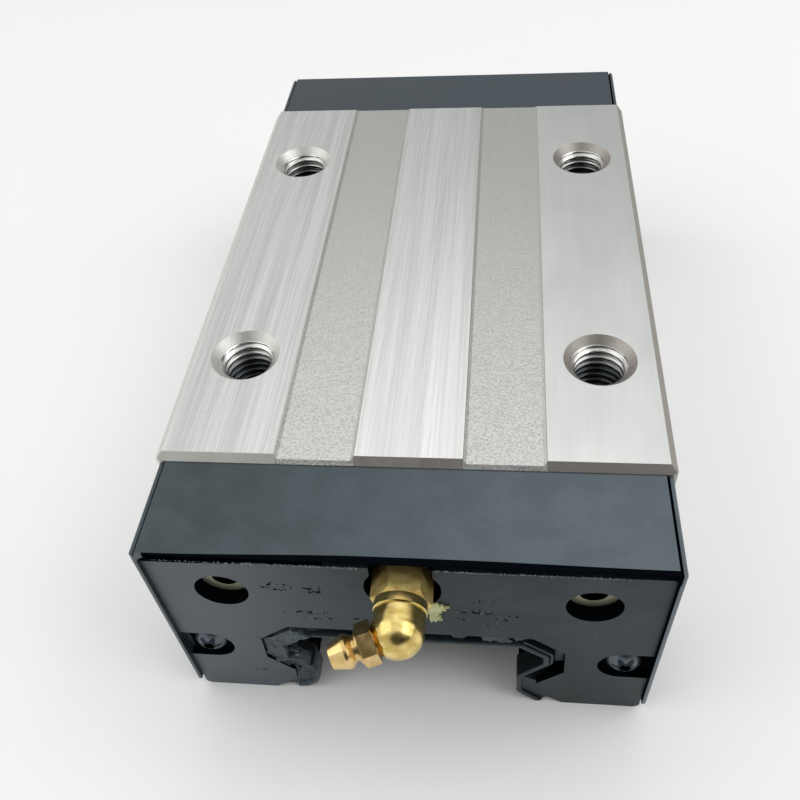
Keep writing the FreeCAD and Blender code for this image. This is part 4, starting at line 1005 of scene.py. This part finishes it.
@dataclass
class TornRubber:
    """Ripped pieces of the lip that still hang on at the upper and lower left."""

    finishes: Finishes
    seed: int = 7
    edge_step: float = 0.35       # millimetres, as are the three below
    edge_shake: float = 0.09
    inner_step: float = 0.32
    inner_shake: float = 0.1

    def patch(self, shape: bmesh.types.BMesh, outline: list[Point], front: float, back: float,
              rough: float, hole: tuple[float, float, float] | None = None) -> None:
        """Add a crumpled slab.

        Args:
            shape: Bmesh that gets the slab.
            outline: Its outline in X and Z, in millimetres.
            front: Y of its front, in metres.
            back: Y of its back.
            rough: Height of the crumples.
            hole: Middle and radius of a hole, in millimetres.
        """
        rng = random.Random(self.seed)
        edge = []
        for (x0, z0), (x1, z1) in zip(outline, outline[1:] + outline[:1]):
            pieces = max(1, round(math.hypot(x1 - x0, z1 - z0) / self.edge_step))
            for k in range(pieces):
                shake = self.edge_shake if k else 0.0
                edge.append(Vector((x0 + (x1 - x0) * k / pieces + rng.uniform(-shake, shake),
                                    z0 + (z1 - z0) * k / pieces + rng.uniform(-shake, shake))))
        xs, zs = [p.x for p in edge], [p.y for p in edge]
        inner = []
        x = min(xs)
        while x < max(xs):
            z = min(zs)
            while z < max(zs):
                inner.append(Vector((x + rng.uniform(-self.inner_shake, self.inner_shake),
                                     z + rng.uniform(-self.inner_shake, self.inner_shake))))
                z += self.inner_step
            x += self.inner_step
        count = len(edge)
        points, _, faces, *_ = geometry.delaunay_2d_cdt(
            edge + inner, [(k, (k + 1) % count) for k in range(count)], [list(range(count))],
            1, 1e-4)
        if hole is not None:
            kept = []
            for face in faces:
                middle = sum((points[k] for k in face), Vector((0.0, 0.0))) / len(face)
                if math.hypot(middle.x - hole[0], (middle.y - hole[1]) * 0.6) > hole[2]:
                    kept.append(face)
            faces = kept
        used = sorted({k for face in faces for k in face})
        top, bottom = {}, {}
        for k in used:
            spot = points[k]
            here = Vector((spot.x, 0.0, spot.y))
            height = noise.noise(here / 1.1) + 0.5 * noise.noise(here / 0.42)
            top[k] = shape.verts.new((spot.x * MM, front - rough * height, spot.y * MM))
            bottom[k] = shape.verts.new((spot.x * MM, back, spot.y * MM))
        sides = []
        for face in faces:
            shape.faces.new([top[k] for k in face])
            shape.faces.new([bottom[k] for k in reversed(face)])
            sides += zip(face, face[1:] + face[:1])
        shared = set(sides)
        for a, b in sides:
            if (b, a) not in shared:
                shape.faces.new((top[a], bottom[a], bottom[b], top[b]))

    def build(self) -> bpy.types.Object:
        """Model the torn pieces.

        Returns:
            All pieces in one object.
        """
        front = PLATE_LOW.y
        shape = bmesh.new()
        self.patch(shape, [(-20.0, -32.6), (-22.5, -31.6), (-24.0, -30.3), (-26.0, -31.3),
                           (-28.2, -33.2), (-28.6, -34.6), (-27.6, -36.3), (-25.9, -36.9),
                           (-24.2, -35.8), (-22.8, -34.2), (-21.0, -33.6)],
                   front - 0.15 * MM, front + 1.6 * MM, 0.35 * MM)
        self.patch(shape, [(-31.1, -35.6), (-28.9, -34.9), (-27.5, -36.2), (-27.0, -38.5),
                           (-26.6, -41.8), (-27.2, -45.4), (-28.6, -45.8), (-31.2, -43.1),
                           (-31.2, -40.0)], front + 0.5 * MM, front + 3.9 * MM, 0.25 * MM)
        self.patch(shape, [(-30.9, -43.4), (-27.5, -43.2), (-24.3, -43.9), (-22.6, -47.5),
                           (-22.2, -51.5), (-23.6, -55.2), (-26.3, -57.3), (-28.7, -57.3),
                           (-28.8, -55.3), (-26.4, -52.8), (-26.05, -48.8)],
                   front + 0.8 * MM, front + 3.0 * MM, 0.34 * MM, (-25.2, -48.9, 0.45))
        roll = metres([(-29.6, -45.2), (-27.2, -44.0), (-24.6, -44.3), (-22.9, -46.4),
                       (-22.0, -49.6), (-21.8, -52.6), (-22.6, -54.9), (-24.5, -56.6),
                       (-26.6, -57.1)])
        strip(shape, roll, 1.2 * MM, front + 0.1 * MM, front + 4.6 * MM, 0.3 * MM, 0.15 * MM)
        for path, width, y0, depth in (
                (((-27.4, -36.0), (-27.2, -40.0), (-27.2, -43.8)), 0.8, 0.0, 2.5),
                (((-29.8, -44.8), (-27.4, -47.4), (-26.3, -49.2), (-26.6, -52.6), (-28.3, -54.7)),
                 0.35, 0.35, 1.2),
                (((-30.4, -37.6), (-29.0, -39.4), (-29.8, -42.2)), 0.35, 0.45, 1.2),
                (((-27.9, -35.0), (-29.6, -36.6), (-30.7, -36.3)), 0.3, 0.6, 1.2),
                (((-27.0, -41.2), (-25.6, -41.3), (-24.4, -41.7)), 0.45, 0.7, 1.2),
                (((-21.4, -32.0), (-19.6, -31.9), (-18.2, -32.4)), 0.7, 1.0, 1.6)):
            strip(shape, metres(path), width * MM, front + y0 * MM,
                  front + (y0 + depth) * MM, 0.15 * MM, 0.2 * MM)
        mesh = finish_mesh("torn", shape)
        return mesh_object("torn_seal_lip", mesh, self.finishes.torn, 60.0)


@dataclass
class Dirt:
    """Loose bits on the front: greasy lumps over the seal, a scrap of thread tape, fine crumbs."""

    finishes: Finishes

    def lumps(self) -> bpy.types.Object:
        """Greasy lumps in the gap above the lip."""
        torn = TornRubber(self.finishes, seed=3)
        front = PLATE_LOW.y
        shape = bmesh.new()
        for outline, depth in (
                (((8.2, -29.4), (9.6, -29.0), (11.2, -29.0), (11.5, -30.6), (10.7, -31.2),
                  (8.8, -31.0)), 0.6),
                (((14.3, -29.6), (15.8, -28.95), (18.0, -29.0), (19.3, -29.9), (20.6, -31.2),
                  (19.4, -31.9), (17.0, -31.7), (14.9, -31.3)), 0.35),
                (((20.6, -29.9), (22.4, -29.2), (24.2, -29.2), (23.0, -30.3), (21.2, -30.9)), 0.5),
                (((5.4, -29.5), (7.4, -29.3), (7.9, -30.0), (6.4, -30.6)), 1.1)):
            torn.patch(shape, list(outline), front + depth * MM, front + (depth + 1.5) * MM,
                       0.25 * MM)
        return mesh_object("grease_lumps", finish_mesh("lumps", shape), self.finishes.torn,
                           60.0)

    def tape(self) -> bpy.types.Object:
        """Scrap of thread tape squeezed out beside the elbow."""
        torn = TornRubber(self.finishes, seed=11)
        shape = bmesh.new()
        front = PLATE_LOW.y
        torn.patch(shape, [(4.9, -15.6), (5.7, -16.3), (6.3, -15.9), (6.6, -16.7), (7.3, -16.6),
                           (7.5, -17.2), (8.6, -17.3), (7.5, -17.8), (7.9, -18.4), (6.8, -18.3),
                           (7.0, -19.3), (6.2, -19.0), (6.5, -20.1), (5.9, -20.4), (6.9, -21.0),
                           (6.2, -21.5), (7.1, -22.3), (6.1, -22.2), (5.9, -23.1), (5.3, -22.5),
                           (4.8, -23.2), (4.5, -21.4), (4.9, -20.6), (4.4, -19.8), (4.7, -17.6)],
                   front - 0.5 * MM, front - 0.05 * MM, 0.22 * MM)
        return mesh_object("thread_tape_scrap", finish_mesh("tape", shape), self.finishes.tape,
                           60.0)

    def crumbs(self) -> bpy.types.Object:
        """Bright crumbs along the plate's upper edge and on the torn rubber.

        Returns:
            The crumbs as one piece, spread by Geometry Nodes.
        """
        tree, start, names = geometry_tree("crumbs along lines", {
            "Start": "Vector", "End": "Vector", "Scatter": "Vector", "Count": "Int",
            "Size": "Float", "Seed": "Int"})
        line = add(tree, "GeometryNodeMeshLine", settings={"mode": "END_POINTS"}, inputs={
            "Count": start["Count"], "Start Location": start["Start"], "Offset": start["End"]})
        flipped = add(tree, "ShaderNodeVectorMath", start["Scatter"],
                      settings={"operation": "SCALE"}, inputs={"Scale": -1.0})
        shake = add(tree, Kind.RANDOM_VECTOR, flipped, start["Scatter"], start["Seed"])
        moved = add(tree, "GeometryNodeSetPosition", inputs={"Geometry": line, "Offset": shake})
        size = add(tree, Kind.RANDOM_SIZE, start["Size"] * 0.35, start["Size"], start["Seed"])
        turn = add(tree, Kind.RANDOM_VECTOR, (0.0, 0.0, 0.0), (6.28, 6.28, 6.28), start["Seed"])
        ball = add(tree, "GeometryNodeMeshIcoSphere", inputs={"Radius": 1.0, "Subdivisions": 1})
        spread = add(tree, "GeometryNodeInstanceOnPoints", inputs={
            "Points": moved, "Instance": ball, "Rotation": turn, "Scale": size})
        realize(tree, spread, self.finishes.burr)
        y = PLATE_LOW.y - 0.02 * MM
        top = PLATE_HIGH.z
        rows = (
            ((-29, top - 0.12 * MM), (-8, top - 0.12 * MM), (0.9, 0.05, 0.25), 200, 0.20),
            ((-46, top - 0.12 * MM), (-29, top - 0.12 * MM), (0.9, 0.05, 0.16), 60, 0.16),
            ((6, top - 0.10 * MM), (40, top - 0.10 * MM), (1.2, 0.05, 0.18), 180, 0.15),
            ((-28.2, -34.0 * MM), (-24.0, -34.6 * MM), (0.6, 0.15, 0.9), 16, 0.12),
            ((-24.8, -41.2 * MM), (-24.3, -41.5 * MM), (0.15, 0.1, 0.15), 5, 0.16),
            ((17.5, -30.2 * MM), (20.2, -30.4 * MM), (0.5, 0.15, 0.3), 7, 0.11),
            ((5.4, -16.6 * MM), (6.2, -22.6 * MM), (0.8, 0.25, 0.6), 70, 0.12),
        )
        # Ends in X (mm) and Z (m), scatter (mm), how many, and the largest one's size (mm).
        shape = bmesh.new()
        for k, ((x0, z0), (x1, z1), scatter, count, width) in enumerate(rows):
            shape.from_mesh(baked(tree, f"crumbs{k}", {
                names["Start"]: (x0 * MM, y, z0), names["End"]: (x1 * MM, y, z1),
                names["Scatter"]: tuple(v * MM for v in scatter), names["Count"]: count,
                names["Size"]: width * MM, names["Seed"]: k}))
        joined = bpy.data.meshes.new("crumbs")
        shape.to_mesh(joined)
        shape.free()
        return mesh_object("loose_crumbs", joined, self.finishes.burr, 60.0)

    def build(self) -> None:
        """Model all the loose bits."""
        self.lumps()
        self.tape()
        self.crumbs()


# ---------------------------------------------------------------------------- studio
@dataclass
class Studio:
    """Pale floor, soft light and the camera."""

    focal: float = 38.43
    place: tuple[float, float, float] = (16.851 * MM, -164.189 * MM, 126.917 * MM)
    right: tuple[float, float, float] = (0.99325596, 0.09057163, -0.07238354)
    down: tuple[float, float, float] = (0.01870694, -0.74131811, -0.67089307)
    ahead: tuple[float, float, float] = (-0.11442311, 0.66501446, -0.73801295)
    floor_size: float = 6.0
    floor_colour: str = "#f7f7f7"
    light_colour: str = "#fdfdfc"
    horizon: float = 0.88         # brightness of the room, from its foot to its top
    walls: float = 0.43
    ceiling: float = 1.36
    zenith: float = 1.08
    shade: float = 0.9            # where whoever looks at the carriage stands in the light
    shade_angles: tuple[float, float] = (36.0, 22.0)
    lamp_size: float = 1.1
    lamp_aim: tuple[float, float, float] = (0.0, 0.0, -0.02)

    def camera(self) -> None:
        """Create the camera and make it the scene's."""
        data = bpy.data.cameras.new("camera")
        data.sensor_width = 36.0
        data.lens = self.focal
        data.clip_start = 0.01
        data.clip_end = 20.0
        camera = bpy.data.objects.new("camera", data)
        turn = Matrix((self.right, [-v for v in self.down], [-v for v in self.ahead])).transposed()
        camera.matrix_world = Matrix.Translation(self.place) @ turn.to_4x4()
        bpy.context.scene.collection.objects.link(camera)
        bpy.context.scene.camera = camera

    def floor(self) -> None:
        """Lay the pale floor under the legs."""
        shape = bmesh.new()
        bmesh.ops.create_grid(shape, x_segments=1, y_segments=1, size=self.floor_size / 2)
        mesh = bpy.data.meshes.new("floor")
        shape.to_mesh(mesh)
        shape.free()
        mesh.transform(Matrix.Translation((0, 0, PLATE_LOW.z)))
        material, _, shader = new_material("white laminate table")
        fill(shader, {"Base Color": self.floor_colour, "Roughness": 0.6, "Specular IOR Level": 0.2})
        mesh.materials.append(material)
        floor = bpy.data.objects.new("floor", mesh)
        bpy.context.scene.collection.objects.link(floor)

    def world(self) -> None:
        """Soft room light: a darker band low behind, a bright ceiling, dim to the left."""
        world = bpy.data.worlds.new("room")
        world.use_nodes = True
        bpy.context.scene.world = world
        tree = world.node_tree
        tree.nodes.clear()
        ray = add(tree, "ShaderNodeLightPath")
        where = add(tree, Kind.DIRECTION)
        x, _, z = axes(tree, Kind.DIRECTION)
        # From the horizon up over walls and ceiling to the zenith, by the ray's height.
        left = add(tree, Kind.RISE, x * -1.0, 0.02, 0.50)
        right = add(tree, Kind.RISE, x, 0.0, 0.40)
        level = add(tree, Kind.LEVEL, add(tree, Kind.RISE, z, 0.40, 0.92),
                    x * -0.55 + self.walls, left * -0.48 + self.ceiling - right * 0.08)
        level = add(tree, Kind.LEVEL, add(tree, Kind.RISE, z, 0.10, 0.34), self.horizon, level)
        level = add(tree, Kind.LEVEL, add(tree, Kind.RISE, z, 0.86, 0.97), level, self.zenith)
        facing = add(tree, "ShaderNodeVectorMath", where, tuple(Vector(self.place).normalized()),
                     settings={"operation": "DOT_PRODUCT"})["Value"]
        outer, inner = (math.cos(math.radians(angle)) for angle in self.shade_angles)
        light = level * (1.0 - add(tree, Kind.RISE, facing, outer, inner) * self.shade)
        # The camera sees the plain backdrop, and metal the soft room.
        soft = add(tree, "ShaderNodeBackground", self.light_colour, light)
        white = add(tree, "ShaderNodeBackground", self.floor_colour, 1.0)
        through = ray["Is Glossy Ray"] * ray["Is Transmission Ray"]
        mix = add(tree, "ShaderNodeMixShader", ray["Is Camera Ray"] | through, soft, white)
        add(tree, "ShaderNodeOutputWorld", mix)

    def lamps(self) -> None:
        """Hang a wide soft lamp over each side of the carriage."""
        for name, energy, where in (("right", 6.1, Vector((0.95, -0.10, 0.80))),
                                    ("left", 3.2, Vector((-0.95, -0.10, 0.80)))):
            data = bpy.data.lights.new(f"{name} lamp", "AREA")
            data.shape = "SQUARE"
            data.size = self.lamp_size
            data.energy = energy
            lamp = bpy.data.objects.new(f"{name} lamp", data)
            aim = (Vector(self.lamp_aim) - where).to_track_quat("-Z", "Y")
            lamp.matrix_world = Matrix.Translation(where) @ aim.to_matrix().to_4x4()
            bpy.context.scene.collection.objects.link(lamp)

    def build(self) -> None:
        """Set up everything around the object."""
        self.camera()
        self.floor()
        self.world()
        self.lamps()
        bpy.context.scene.view_settings.view_transform = "Standard"


def write_sizes() -> None:
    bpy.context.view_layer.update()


def main() -> None:
    """Build the carriage's looks and its studio, piece by piece."""
    logging.basicConfig(level=logging.INFO, format="%(name)s: %(message)s")
    finishes = Finishes()
    finishes.dress_frame()
    TappedThreads(finishes).build()
    FrontSeal(finishes).build()
    TornRubber(finishes).build()
    Dirt(finishes).build()
    Studio().build()
    write_sizes()


if __name__ == "__main__":
    main()
